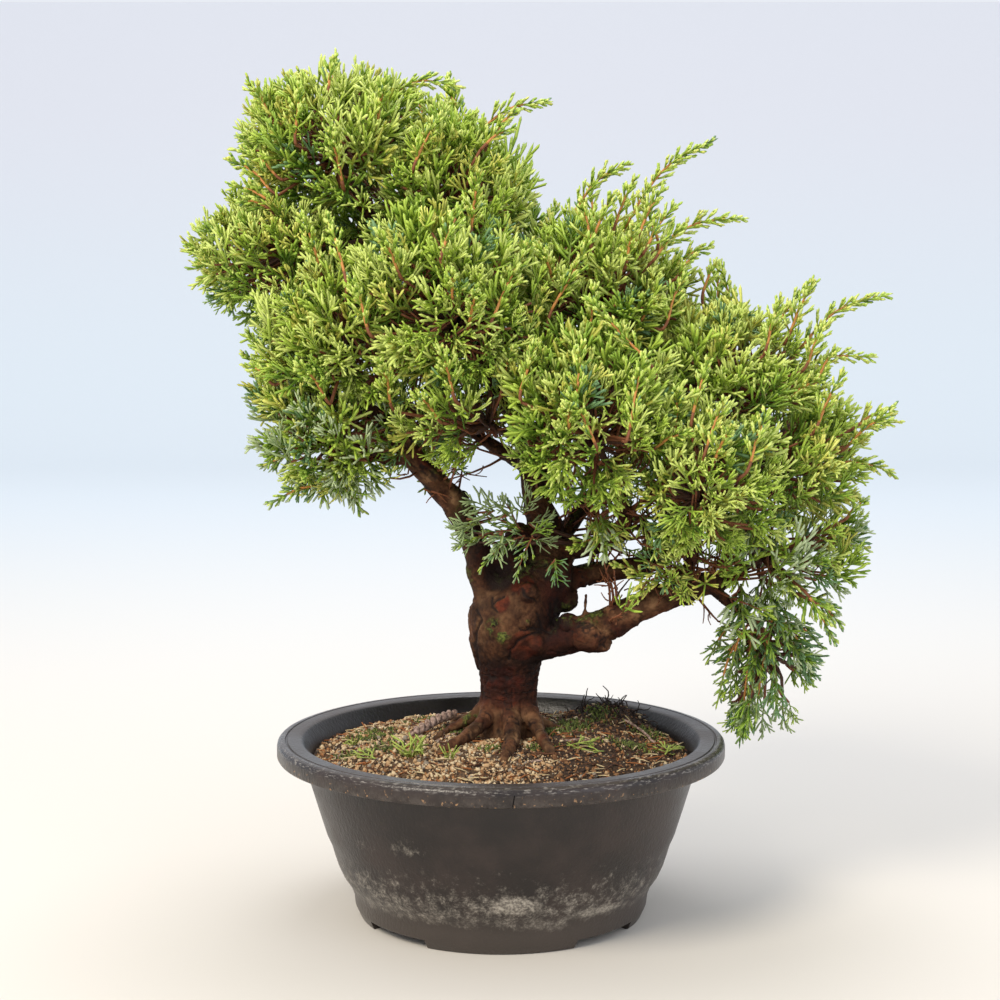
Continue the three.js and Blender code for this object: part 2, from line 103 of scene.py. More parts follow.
def new_finish(name, colour, roughness, **sockets):
    """A material with a plain base colour, with its tree, its shader and the piece's coordinates."""
    material = bpy.data.materials.new(name)
    material.use_nodes = True
    tree = material.node_tree
    shader = tree.nodes["Principled BSDF"]
    shader.inputs["Base Color"].default_value = shade(colour)
    shader.inputs["Roughness"].default_value = roughness
    for key, value in sockets.items():
        shader.inputs[key.replace("_", " ")].default_value = value
    material.diffuse_color = shade(colour)
    place = add_node(tree, "TexCoord", output="Object")
    return material, tree, shader, place


# ---------------------------------------------------------------- meshes from arrays


def metres(points):
    """Points of the plant, from its millimetres to the frame's metres."""
    return (np.asarray(points) + AXIS) * MM


def piece(name, points, faces, finishes, which=None, slot="foliage", nodes=(), smooth=True):
    """A piece from points in the plant's millimetres and triangles, riding with the plant."""
    mesh = bpy.data.meshes.new(name)
    place = metres(points).astype(np.float32)
    faces = np.asarray(faces, np.int32)
    mesh.vertices.add(len(place))
    mesh.vertices.foreach_set("co", place.ravel())
    mesh.loops.add(faces.size)
    mesh.loops.foreach_set("vertex_index", faces.ravel())
    mesh.polygons.add(len(faces))
    mesh.polygons.foreach_set("loop_start", np.arange(0, faces.size, faces.shape[1], dtype=np.int32))
    for finish in finishes:
        mesh.materials.append(finish)
    if which is not None:
        mesh.polygons.foreach_set("material_index", np.asarray(which, np.int32))
    mesh.update(calc_edges=True)
    if smooth:
        mesh.shade_smooth()
    made = bpy.data.objects.new(name, mesh)
    bpy.context.collection.objects.link(made)
    return settle(made, slot, nodes)


def corners(mesh, kind="co"):
    """The mesh's corners in the plant's millimetres, or their normals."""
    values = np.empty(len(mesh.vertices) * 3, np.float32)
    mesh.vertices.foreach_get(kind, values)
    values = values.reshape(-1, 3)
    return values if kind == "normal" else values / MM - AXIS


def move_corners(mesh, points):
    mesh.vertices.foreach_set("co", metres(points).astype(np.float32).ravel())


def repeated(faces, step, count):
    """Faces of one small shape for count copies of it, each of step corners."""
    return (faces[None] + step * np.arange(count)[:, None, None]).reshape(-1, 3)


def settle(made, slot, nodes=()):
    """Lets a piece ride with the plant, in place of nodes; slot is not used."""
    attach(made, "root")
    if nodes:
        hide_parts(*nodes)
    return made


def unit(vectors):
    return vectors / np.maximum(np.linalg.norm(vectors, axis=-1, keepdims=True), 1e-9)


def smooth_step(value, low, high):
    """A soft step from 0 at low to 1 at high; low may be the greater of the two."""
    share = np.clip((value - low) / (high - low), 0, 1)
    return share * share * (3 - 2 * share)


def lattice_noise(points, size, seed=0):
    """Smooth noise from -1 to 1 with features of a size."""
    scaled = points / size
    cell = np.floor(scaled).astype(np.int64)
    part = scaled - cell
    fade = part * part * (3 - 2 * part)
    total = np.zeros(len(points))
    for corner in itertools.product((0, 1), repeat=3):
        key = (cell + corner) @ np.array([73856093, 19349663, 83492791]) + seed * 977
        key = ((key ^ (key >> 13)) * 1274126177) & 0x7FFFFFFF
        value = ((key ^ (key >> 15)) & 0xFFFF) / 32767.5 - 1
        total += np.where(corner, fade, 1 - fade).prod(axis=1) * value
    return total


def wobble(points, size, seeds):
    """Noise of its own for each seed, side by side."""
    return np.stack([lattice_noise(points, size, seed) for seed in seeds], 1)


def tube(path, radii, sides, spread=None):
    """A closed tube along points, with a radius at each; spread adds to the radius at a point."""
    path = np.asarray(path, float)
    radii = np.broadcast_to(radii, len(path)).astype(float)
    way = unit(np.gradient(path, axis=0))
    side = np.array([0.0, 1.0, 0.0])
    if abs(way[0] @ side) > 0.9:
        side = np.array([1.0, 0.0, 0.0])
    turn = 2 * math.pi * np.arange(sides) / sides
    rings = []
    for centre, along, radius in zip(path, way, radii):
        side = unit(side - side @ along * along)
        other = np.cross(along, side)
        across = np.outer(np.cos(turn), side) + np.outer(np.sin(turn), other)
        extra = 0 if spread is None else spread(centre, across)[:, None]
        rings.append(centre + across * (radius + extra))
    count = len(path)
    points = np.vstack([*rings, path[:1], path[-1:]])
    k = np.arange(sides)
    n = (k + 1) % sides
    faces = []
    for row in range(count - 1):
        here, there = row * sides, (row + 1) * sides
        faces += [np.stack([here + k, here + n, there + n], 1), np.stack([here + k, there + n, there + k], 1)]
    last = (count - 1) * sides
    faces += [np.stack([n, k, np.full(sides, count * sides)], 1),
              np.stack([last + k, last + n, np.full(sides, count * sides + 1)], 1)]
    return points, np.vstack(faces)


def join(parts):
    """One set of points and faces from several."""
    points, faces, offset = [], [], 0
    for part_points, part_faces in parts:
        points.append(part_points)
        faces.append(part_faces + offset)
        offset += len(part_points)
    return np.vstack(points), np.vstack(faces)


EYE = np.array([-0.45, -829.1, 268.6])   # where the camera stands


def seen_from_front(points):
    """Where points are seen, as [x, z] on the plane of the trunk."""
    line = points - EYE
    seen = EYE + line * (-EYE[1] / line[:, 1])[:, None]
    return seen[:, [0, 2]]


# ---------------------------------------------------------------- limbs: the source's sizes

GROUND = 84
RIM_RADIUS, RIM_TOP = 105, 83.7
TRUNK = [
    [4, 7, 78, 14.5], [4, 7, 103, 13.5], [4, 6, 112, 14], [4, 6, 121, 16.8], [5, 5, 136, 21],
    [11, 5, 148, 20], [21, 5, 160, 13.5], [22, 7, 174, 9], [17, 10, 194, 6.2], [8, 15, 231, 5.2],
    [-24, 20, 278, 4.3], [-43, 18, 303, 3.8], [-58, 14, 322, 3.2], [-67, 9, 336, 2.5],
]
FLARE_HEIGHT = 6
ROOT_SPREAD = 0.25                   # the surface roots, added apart, take the rest of the flare
FLARE = [(190, 13, 26), (235, 9, 22), (272, 15, 22), (320, 9, 24), (15, 6, 28), (85, 9, 30), (140, 8, 26)]
BOUGHS = {
    "left": [[-2, 2, 143, 8], [-8, 0, 159, 7], [-12, -2, 174, 6.4], [-20, -4, 191, 6.1],
             [-39, -6, 213, 5.5], [-53, -10, 231, 4.2], [-65, -16, 246, 2.5]],
    "left_low": [[-40, -6, 216, 2.9], [-50, -5, 213, 2.4], [-58, -4, 215, 2]],
    "right_low": [[12, 0, 126, 9.2], [33, -4, 131.5, 7.7], [49, -7, 137, 7.6], [63, -9, 145, 6.9],
                  [89, -9, 155, 6], [104, -7, 158, 4.6]],
    "hanging": [[94, -9, 157, 3], [108, -14, 146, 2.4], [118, -7, 136, 1.8]],
    "right_front": [[76, -10, 153, 4], [86, -20, 166, 3], [86, -36, 184, 2.1]],
    "right_mid": [[20, 6, 150, 6.8], [38, 8, 158, 5.6], [71, 10, 164, 4.3], [89, 8, 177, 3.6],
                  [101, 6, 199, 2.9], [106, 5, 225, 2]],
    "right_outer": [[86, 8, 174, 3], [102, 8, 187, 2.4], [112, 6, 198, 1.9]],
    "right_high": [[22, 6, 169, 4.7], [42, -2, 173, 4.2], [55, -14, 180, 3.6], [56, -26, 193, 3],
                   [50, -33, 207, 2.2]],
    "upper_right": [[13, 12, 214, 4.2], [24, 10, 238, 3.4], [37, 4, 267, 2.1]],
    "rear_left": [[-14, 19, 266, 3.7], [-36, 38, 268, 3], [-58, 50, 268, 2.1]],
    "rear_low": [[14, 12, 209, 4.4], [0, 28, 216, 3.5], [-18, 44, 226, 2.2]],
    "rear_mid": [[16, 11, 202, 4.3], [22, 34, 224, 3.4], [16, 56, 250, 2.1]],
    "rear_right": [[22, 7, 168, 4.8], [38, 30, 186, 3.9], [60, 54, 214, 2.2]],
    "rear_far": [[62, 10, 162, 3.5], [84, 28, 172, 2.9], [108, 46, 188, 2]],
}


def spline(stations, places):
    """Points of a centripetal spline through stations, at places from 0 to 1."""
    knots = np.asarray(stations, float)
    knots = np.vstack([2 * knots[0] - knots[1], knots, 2 * knots[-1] - knots[-2]])
    scaled = np.clip(places, 0, 1) * (len(knots) - 3)
    k = np.minimum(scaled.astype(int), len(knots) - 4)
    w = (scaled - k)[:, None]
    a, b, c, d = (knots[k + i] for i in range(4))
    gaps = [np.sqrt(np.linalg.norm(q - p, axis=1))[:, None] for p, q in ((a, b), (b, c), (c, d))]
    g0, g1, g2 = gaps
    first = ((b - a) / g0 - (c - a) / (g0 + g1) + (c - b) / g1) * g1
    second = ((c - b) / g1 - (d - b) / (g1 + g2) + (d - c) / g2) * g1
    return b + w * (first + w * (3 * (c - b) - 2 * first - second + w * (2 * (b - c) + first + second)))


class Limb:
    """A limb's middle line and radii, as the source has them."""

    def __init__(self, stations):
        stations = np.asarray(stations, float)
        self.knots, self.radii = stations[:, :3], stations[:, 3]

    def at(self, places):
        return spline(self.knots, np.atleast_1d(np.asarray(places, float)))

    def radius(self, places):
        return np.interp(places, np.linspace(0, 1, len(self.radii)), self.radii)

    def skin(self, count, sides, spread=None):
        """The limb as a tube with a count of rings."""
        places = np.linspace(0, 1, count)
        return tube(self.at(places), self.radius(places), sides, spread)


limbs = {"trunk": Limb(TRUNK), **{"bough_" + name: Limb(rows) for name, rows in BOUGHS.items()}}


def flare(centre, across):
    """Surface roots spread the trunk's foot, and fade out above the ground."""
    bearing = np.degrees(np.arctan2(across[:, 1], across[:, 0]))
    fade = math.exp(-max(centre[2] - GROUND, 0) / FLARE_HEIGHT)
    turns = [((bearing - root + 180) % 360 - 180, reach, width) for root, reach, width in FLARE]
    return ROOT_SPREAD * sum(reach * fade * np.exp(-((turn / width) ** 2)) for turn, reach, width in turns)


# Surface roots, knobs with the collars of boughs, and stubs of lost twigs, as [x, y, z, radius]
ROOTS = [
    [[4, -2, 96, 5], [5, -9, 91, 4.8], [5.3, -17, 87.5, 4.1], [4.5, -26, 85.2, 3.7], [3, -36, 83.6, 3],
     [1.5, -46, 80, 2.2]],
    [[13, -2, 95, 5], [15.5, -8, 90.5, 3.9], [18, -15, 87.6, 3.2], [20, -24, 85.4, 2.9], [22.5, -34, 83.4, 2.4],
     [26, -43, 79.6, 1.8]],
    [[-5, -1, 95, 4.4], [-9, -8, 91, 3.6], [-13, -15, 88, 3], [-18, -22, 86, 2.7], [-24, -29, 84, 2.3],
     [-31, -36, 80, 1.7]],
    [[-7, 6, 95, 4], [-12, 6, 91.5, 3.2], [-18, 4, 88.4, 2.7], [-24, 1, 86, 2.1], [-29, -8, 84.4, 1.6],
     [-34, -18, 81, 1.2]],
    [[12, 9, 90, 4.4], [20, 10, 86, 3.2], [29, 11, 83.4, 2.4], [38, 13, 79.6, 1.7]],
    [[7, 18, 90, 5], [8, 26, 86.5, 4], [12, 36, 83.6, 3], [14, 45, 79, 2]],
    [[-5, 15, 89, 4.6], [-12, 23, 86, 3.6], [-20, 31, 83.6, 2.6], [-28, 37, 79, 1.8]],
]
KNOBS = [
    [3, 4, 168, 8], [8, 4, 177, 6.5],
    [12.4, -13.4, 153, 5], [12.4, -15.8, 138.7, 1.5], [24, -3, 160, 8.5], [41, -9, 133, 9.4],
    [47, -9, 128, 4.2], [60, -12, 142.5, 4], [-15, -7, 190, 4],
    [-18, -1, 196, 3.6], [-31, -9, 206, 3.4], [-46, -11, 224, 3.2], [76, -12, 147.5, 4],
    [86, -10, 149.5, 3.4], [70, -9, 153, 3.2], [16, -8, 128.5, 5.4], [30, 4, 148, 7],
    [31, -7, 137.5, 5.6], [17, 10, 190, 7], [20, 10, 205, 5],
]
STUBS = [
    [[39, -8, 141, 1], [39.4, -8, 152, 0.6]], [[45, -10, 129, 3], [45.8, -12, 124.8, 2.8]],
    [[-41, -9, 221, 1.6], [-45, -15, 226, 1.1]], [[74, -11, 152, 1.5], [77, -17, 148, 1]],
    [[31, -3, 163, 1.5], [34, -9, 169, 1]], [[-16, 1, 184, 1.4], [-22, 3, 188, 0.9]],
]

# ---------------------------------------------------------------- bark

CRACKS = [                           # seen from the front, as [x, z] along each
    [[-12, 143.2], [-10.8, 140.4], [-9.3, 138.5], [-10.1, 136.5], [-11.8, 132.5], [-12.2, 127], [-11.2, 121.5],
     [-10.1, 117.1]],
    [[3.9, 119.1], [4.3, 123.4], [7.7, 127.8], [13.2, 131], [17, 132.5], [19.4, 131.8]],
    [[17, 141.2], [18.6, 137.3], [19.4, 133.3], [23.6, 131.8]],
    [[24, 146], [23.6, 140.4], [25.6, 134.9], [23.6, 131.8]],
    [[8.9, 133.7], [11.6, 133], [14.7, 134.5], [19.4, 133.3]],
    [[-4.3, 148.7], [-4.5, 144.8], [-1.9, 142.2]],
    [[1.5, 149.1], [-1.5, 147.5], [-4.3, 145.2]],
    [[-3.1, 138.1], [-2.3, 136.1], [-3.5, 134.9]],
    [[10.1, 153.5], [10.5, 149.5], [16.3, 147.2]],
]
RINGS = [                            # scars of lost boughs, seen from the front, as [x, z, radius]
    [12.8, 151.5, 4.6], [40, 133.3, 4.4], [52.5, 141.9, 3.6], [-13.9, 189.9, 3], [11.2, 134.8, 1.4],
    [63.2, 146.1, 3],
]
VOXEL = 0.85                         # mm between the corners of the bark's mesh
# The marks carry painted light and shade too: painted shade in cracks, scars and the fork's hollow, and on undersides
# and the trunk's right side; painted light on the left limb.
BARK_MARKS = ("painted_crevice_shade", "flake", "moss", "young", "damp", "weathered_and_lit", "creased")
FRESH = [                            # centre, reach and strength of the patches of fresh bark
    ((-0.5, -16, 148.5), 7, 1), ((9, -14, 159), 9, 0.85), ((11, -15, 127), 12, 0.75),
    ((20, -8, 153), 9, 0.35), ((1, -8, 107), 14, 0.7), ((-36, -8, 215), 9, 0.9),
]
GREYED_AND_LIT = [                           # the same of weathered bark, paler; on the left limb it is painted light, where that limb lies in the crown's shade
    ((58, -10, 140), 34, 0.85), ((-36, -8, 206), 32, 1), ((-4, -12, 146), 18, 0.4), ((-15, -4, 138), 16, 0.6),
]
MOSSY = [                            # centre and reach of moss on the sides
    ((-3.7, -15, 137), 6), ((0.5, -15, 133), 5), ((-14, 2, 160), 10), ((-14, 2, 90), 7),
    ((33, -6, 142), 9), ((-16, -6, 190), 8),
]
PATTERNS = {                         # size in mm, stretch along the limb, seed
    "cracks": (3.4, 0.22, 11), "crack_breaks": (9, 0.5, 12), "hair_cracks": (1.7, 0.2, 13),
    "creases": (4.2, 2.6, 14), "plates": (5.2, 0.4, 15), "lumps": (7.5, 0.8, 16),
    "flakes": (8, 0.6, 17), "low_flakes": (9, 0.5, 18), "weather": (5, 0.6, 26),
}
FORK_HOLLOW = ((-1, -8, 160), 11)    # the hollow under the fork, sunk and darkened with painted shade
SWELLING = ((4, -8, 142), 34)        # where the bark is stretched and smooth


def bark_finish():
    """Juniper bark, flaking in thin plates: matt, grey-brown outside and red-orange where fresh, with painted shade
    in its cracks, on its undersides and on the trunk's right side, and painted light on the left limb.
    """
    bark, tree, shader, place = new_finish("flaking_juniper_bark", "#5A4034", 0.8, Specular_IOR_Level=0.25)
    painted_crevice_shade, flake, moss, young, damp, weathered_and_lit, creased = (
        add_node(tree, "Attribute", output="Fac", attribute_name=name) for name in BARK_MARKS)
    level, upright = (add_node(tree, "Mapping", {"Vector": place, "Scale": scale})
                      for scale in ((0.22, 0.22, 1), (1, 1, 0.9)))
    wrinkle = add_node(tree, "TexNoise", {"Vector": level, "Scale": per(1.7), "Detail": 3, "Distortion": 0.4})
    broad, fibre, speck, tuft, bed, blotch = (
        add_node(tree, "TexNoise", {"Vector": vector, "Scale": per(size), "Detail": detail})
        for vector, size, detail in (
            (place, 14, 3), (upright, 1.6, 5), (place, 0.5, 3), (place, 1.2, 3), (place, 3.2, 4), (place, 5, 3)))
    wide, thin, blotched, tufted, bedded, crevice_shade_share, wrinkled = (
        add_node(tree, "MapRange", {"Value": value, "From Min": low, "From Max": high, "To Max": most}, **SOFT)
        for value, low, high, most in (
            (broad, 0.35, 0.68, 1), (fibre, 0.32, 0.72, 1), (blotch, 0.4, 0.65, 1), (tuft, 0.4, 0.65, 1),
            (bed, 0.44, 0.56, 1), (painted_crevice_shade, 0.15, 0.85, 0.85), (wrinkle, 0.47, 0.38, 1)))
    patch, lines, twiggy = (add_node(tree, "Math", {0: one, 1: other}, **TIMES)
                            for one, other in ((moss, bedded), (wrinkled, creased), (young, 0.8)))
    faint_lines = add_node(tree, "Math", {0: lines, 1: 0.75}, **TIMES)
    moss_height = add_node(tree, "Math", {0: patch, 1: tuft}, **TIMES)

    grey, twig, fresh, pale, green = (
        add_node(tree, "Mix", {0: share, 6: shade(low), 7: shade(high)}, 2, **COLOURS)
        for share, low, high in (
            (wide, "#2B170A", "#5C3C25"), (thin, "#331A0E", "#5F361F"), (blotched, "#391508", "#612914"),
            (blotched, "#5A3C25", "#936E4D"), (tufted, "#323B1C", "#66742F")))
    dark = add_node(tree, "Mix", {0: 1, 6: grey, 7: shade("#A8988C")}, 2, blend_type="MULTIPLY", **COLOURS)
    colour = add_node(tree, "Mix", {0: thin, 6: dark, 7: grey}, 2, **COLOURS)
    # The darkening multiply is painted shade, with a darker lower trunk; the near-black over cracks and hollows is
    # painted shade; the pale weathered tone carries painted light on the left limb.
    for share, tint, way in (
        (weathered_and_lit, pale, "MIX"), (flake, fresh, "MIX"), (damp, shade("#A4694A"), "MULTIPLY"),
        (twiggy, twig, "MIX"), (patch, green, "MIX"), (crevice_shade_share, shade("#1C110E"), "MIX"),
        (faint_lines, shade("#1A0E0A"), "MIX"),
    ):
        colour = add_node(tree, "Mix", {0: share, 6: colour, 7: tint}, 2, blend_type=way, **COLOURS)
    tree.links.new(colour, shader.inputs["Base Color"])

    relief = add_node(tree, "Bump", {"Height": fibre, "Distance": 0.5 * MM})
    for height, depth in ((lines, -0.5), (speck, 0.15), (moss_height, 0.8)):
        relief = add_node(tree, "Bump", {"Height": height, "Distance": depth * MM, "Normal": relief})
    tree.links.new(relief, shader.inputs["Normal"])
    return bark


def limb_lines(step=1.5):
    """Points along all limbs with the way, radius and length along at each."""
    rows = []
    for index, limb in enumerate(limbs.values()):
        rough = limb.at(np.linspace(0, 1, 200))
        count = int(np.linalg.norm(np.diff(rough, axis=0), axis=1).sum() / step) + 2
        places = np.linspace(0, 1, count)
        points = limb.at(places)
        run = np.concatenate([[0], np.cumsum(np.linalg.norm(np.diff(points, axis=0), axis=1))])
        way = unit(np.gradient(points, axis=0))
        rows.append(np.hstack([points, way, limb.radius(places)[:, None], run[:, None],
                               np.full((count, 1), index)]))
    return np.vstack(rows)


LINES = limb_lines()


def bark_body():
    """Limbs, roots, knobs and stubs, grown together as one skin."""
    parts = [limb.skin(64, 28, flare) if name == "trunk" else limb.skin(8 * len(limb.radii), 14)
             for name, limb in limbs.items()]
    parts += [Limb(rows).skin(6 * len(rows), 12) for rows in (*ROOTS, *STUBS)]
    points, faces = join(parts)
    body = piece("bark", points, faces, [], slot="bark", smooth=False)
    lumps = []
    for *centre, radius in KNOBS:
        bpy.ops.mesh.primitive_ico_sphere_add(subdivisions=2, radius=radius * MM, location=metres(centre))
        lumps.append(bpy.context.active_object)
    bpy.ops.object.select_all(action="DESELECT")
    for lump in lumps:
        lump.select_set(True)
    body.select_set(True)
    bpy.context.view_layer.objects.active = body
    bpy.ops.object.join()
    for kind, settings in (
        ("REMESH", {"mode": "VOXEL", "voxel_size": VOXEL * MM}),
        ("SMOOTH", {"factor": 0.5, "iterations": 7}),
        ("TRIANGULATE", {}),
    ):
        modifier = body.modifiers.new(kind, kind)
        for key, value in settings.items():
            setattr(modifier, key, value)
        bpy.ops.object.modifier_apply(modifier=modifier.name)
    return body


def near(points, centre, radius):
    """1 at a centre, fading to 0 at a radius."""
    return smooth_step(np.linalg.norm(points - centre, axis=1), radius, 0.35 * radius)


def carve_bark(body):
    """Fissures, plates and wrinkles cut into the skin, and attributes that tell the finish where."""
    mesh = body.data
    points, normals = corners(mesh), corners(mesh, "normal")
    count = len(points)

    tree = KDTree(len(LINES))
    for k, row in enumerate(LINES):
        tree.insert(row[:3], k)
    tree.balance()
    rows = LINES[[tree.find(p)[1] for p in points]]
    away = points - rows[:, :3]
    along = np.einsum("ij,ij->i", away, rows[:, 3:6])
    away -= along[:, None] * rows[:, 3:6]
    run = rows[:, 7] + along + 40 * rows[:, 8]
    radius = rows[:, 6]
    wrap = np.column_stack([away, run])          # the surface unrolled along its limb
    bent = wrap[:, :3] + 0.8 * wobble(points, 5, (1, 2, 3))

    def pattern(name):
        size, stretch, seed = PATTERNS[name]
        return lattice_noise(bent + rows[:, 3:6] * (run * stretch)[:, None], size, seed)

    thick = smooth_step(radius, 2, 9)
    cracks = 1 - np.abs(pattern("cracks")) / 0.16
    cracks = np.clip(cracks, 0, 1) * smooth_step(pattern("crack_breaks"), -0.35, 0.35)
    hair = np.clip(1 - np.abs(pattern("hair_cracks")) / 0.2, 0, 1)
    low_trunk = smooth_step(points[:, 2], 122, 112) * smooth_step(points[:, 2], 97, 103)
    crease = np.clip(1 - np.abs(pattern("creases")) / 0.2, 0, 1) * low_trunk
    plates = smooth_step(pattern("plates"), 0.02, 0.12)
    lumpy = pattern("lumps")

    swelling = near(points, *SWELLING) * smooth_step(points[:, 1], 2, -8)
    seen = seen_from_front(points)
    seen += 0.45 * wobble(points, 2, (5, 6))
    front = smooth_step(normals[:, 1], 0.1, -0.2)
    scars = np.zeros(count)
    for path in CRACKS:
        for start, end in itertools.pairwise(np.array(path)):
            share = np.clip((seen - start) @ (end - start) / ((end - start) @ (end - start)), 0, 1)
            gap = np.linalg.norm(seen - start - share[:, None] * (end - start), axis=1)
            scars = np.maximum(scars, np.clip(1 - gap / 0.95, 0, 1) * front)
    hollow = near(points, *FORK_HOLLOW)
    rings = np.zeros(count)
    for x, z, reach in RINGS:
        gap = np.hypot(seen[:, 0] - x, seen[:, 1] - z) / reach
        rings += np.cos(gap * 8.5) * smooth_step(gap, 1.15, 0.8) * front
    calm = 1 - 0.9 * swelling
    depth = -(0.95 * cracks * (0.3 + 0.7 * thick) + 0.35 * hair * (0.4 + 0.6 * thick)) * calm
    depth += 0.42 * plates * (0.3 + 0.7 * thick) * calm - 0.42 * crease + (0.25 + 0.5 * thick) * lumpy
    depth += 0.32 * rings - 1.3 * scars - 2.4 * hollow
    points = points + normals * depth[:, None]

    flake = smooth_step(pattern("flakes"), 0.18, 0.3) * 0.38
    low = smooth_step(points[:, 2], 118, 104) * smooth_step(pattern("low_flakes"), -0.35, 0.1) * 0.4
    low *= smooth_step(points[:, 2], 92, 99)
    flake = np.maximum(flake * calm, low)
    for centre, reach, strength in FRESH:
        edge = near(points + 1.6 * lattice_noise(points, 3, 21)[:, None], centre, reach)
        flake = np.maximum(flake, strength * smooth_step(edge, 0.3, 0.6))
    upward = np.clip(normals[:, 2], 0, 1)
    moss = 0.85 * smooth_step(upward, 0.35, 0.9) * smooth_step(lattice_noise(points, 11, 31), -0.1, 0.3)
    moss *= smooth_step(points[:, 2], 100, 115)
    # Darker low on the trunk, and painted shade under the fork, on the undersides and on the trunk's right side.
    damp = 0.8 * smooth_step(points[:, 2], 126, 116) * smooth_step(points[:, 2], 97, 111)
    damp = np.maximum(damp, 0.9 * near(points, (2, -2, 168), 24))
    damp = np.maximum(damp, 0.8 * smooth_step(normals[:, 2], -0.1, -0.8))
    damp = np.maximum(damp, smooth_step(points[:, 0], 12, 24) * near(points, (20, -4, 140), 26))
    for centre, reach in MOSSY:
        moss = np.maximum(moss, 0.8 * near(points, centre, reach))
    # Paler, weathered bark, with painted light on the left limb, which lies in the crown's shade.
    weathered_and_lit = np.zeros(count)
    for centre, reach, strength in GREYED_AND_LIT:
        weathered_and_lit = np.maximum(weathered_and_lit, strength * near(points, centre, reach))
    weathered_and_lit *= smooth_step(pattern("weather"), -0.5, 0.25)
    on_roots = smooth_step(points[:, 2], 101, 92) * (0.45 + 0.5 * lattice_noise(points, 4, 25))
    weathered_and_lit = np.clip(np.maximum(weathered_and_lit, on_roots), 0, 1)
    # Painted shade in the cracks, scars, rings, the fork's hollow and between the plates.
    painted_crevice_shade = np.clip(cracks * 0.8 * calm + 0.45 * hair * calm + 1.3 * scars + hollow + 0.5 * crease
                     + 0.6 * np.clip(-rings, 0, 1) + 0.3 * (1 - plates) * calm - 0.15, 0, 1)
    young = 1 - smooth_step(radius, 1.8, 4.5)
    creased = np.maximum(low_trunk * smooth_step(lattice_noise(points, 9, 27), -0.5, 0.1),
                         0.7 * near(points, (10, -8, 172), 14))

    move_corners(mesh, points)
    for name, values in zip(BARK_MARKS, (painted_crevice_shade, flake, moss, young, damp, weathered_and_lit, creased)):
        mesh.attributes.new(name, "FLOAT", "POINT").data.foreach_set("value", values.astype(np.float32))
    mesh.update()
    mesh.materials.clear()
    mesh.materials.append(bark_finish())
    mesh.shade_smooth()


bark_skin = bark_body()
carve_bark(bark_skin)
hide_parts(*limbs)

# ---------------------------------------------------------------- foliage: the source's rule

FOLIAGE = {
    "apex": ("trunk", 1, [-78, 5, 359], [43, 45, 35], 0, 0.8),
    "shoulder": ("trunk", 0.83, [-25, 10, 337], [40, 46, 36], 25, 0.8),
    "left_high": ("trunk", 0.9, [-108, 0, 307], [37, 42, 28], 0, 0.77),
    "left_mid": ("bough_left", 1, [-73, -22, 273], [36, 46, 36], 0, 0.8),
    "left_low": ("bough_left_low", 1, [-82, -5, 228], [36, 44, 31], 0, 0.66),
    "heart": ("trunk", 0.73, [-27, -38, 284], [39, 44, 41], 0, 0.8),
    "heart_low": ("trunk", 0.67, [-13, -30, 235], [32, 38, 25], 0, 0.62),
    "mid_high": ("bough_upper_right", 1, [46, 0, 291], [42, 48, 34], 20, 0.8),
    "mid_front": ("bough_right_high", 1, [39, -45, 232], [40, 42, 38], 0, 0.77),
    "right_high": ("bough_right_mid", 1, [108, 0, 250], [42, 50, 34], 25, 0.77),
    "right_mid": ("bough_right_outer", 1, [131, 0, 213], [40, 48, 31], 0, 0.7),
    "right_front": ("bough_right_front", 1, [88, -46, 205], [38, 38, 30], 0, 0.66),
    "right_low": ("bough_right_low", 1, [129, -4, 172], [38, 46, 30], 0, 0.6),
    "hanging": ("bough_hanging", 1, [126, 5, 116], [25, 32, 41], 22, 0.5),
    "rear_top": ("trunk", 0.86, [-47, 62, 331], [43, 42, 39], 0, 0.8),
    "rear_left": ("bough_rear_left", 1, [-82, 62, 279], [41, 44, 39], 0, 0.8),
    "rear_mid": ("bough_rear_mid", 1, [10, 72, 281], [46, 44, 42], 0, 0.8),
    "rear_low": ("bough_rear_low", 1, [-40, 55, 234], [42, 40, 29], 0, 0.7),
    "rear_right": ("bough_rear_right", 1, [75, 66, 242], [46, 44, 42], 0, 0.78),
    "rear_far": ("bough_rear_far", 1, [128, 58, 207], [42, 42, 37], 0, 0.7),
    "inner_right": ("bough_right_mid", 0.52, [70, -4, 184], [28, 17, 16], 0, 0.4),
    "fork_sprig": ("bough_right_high", 0.3, [2, -20, 180], [27, 12, 15], 0, 0),
    "low_sprig": ("bough_right_low", 0.6, [66, -28, 161], [17, 10, 9], 0, 0),
}

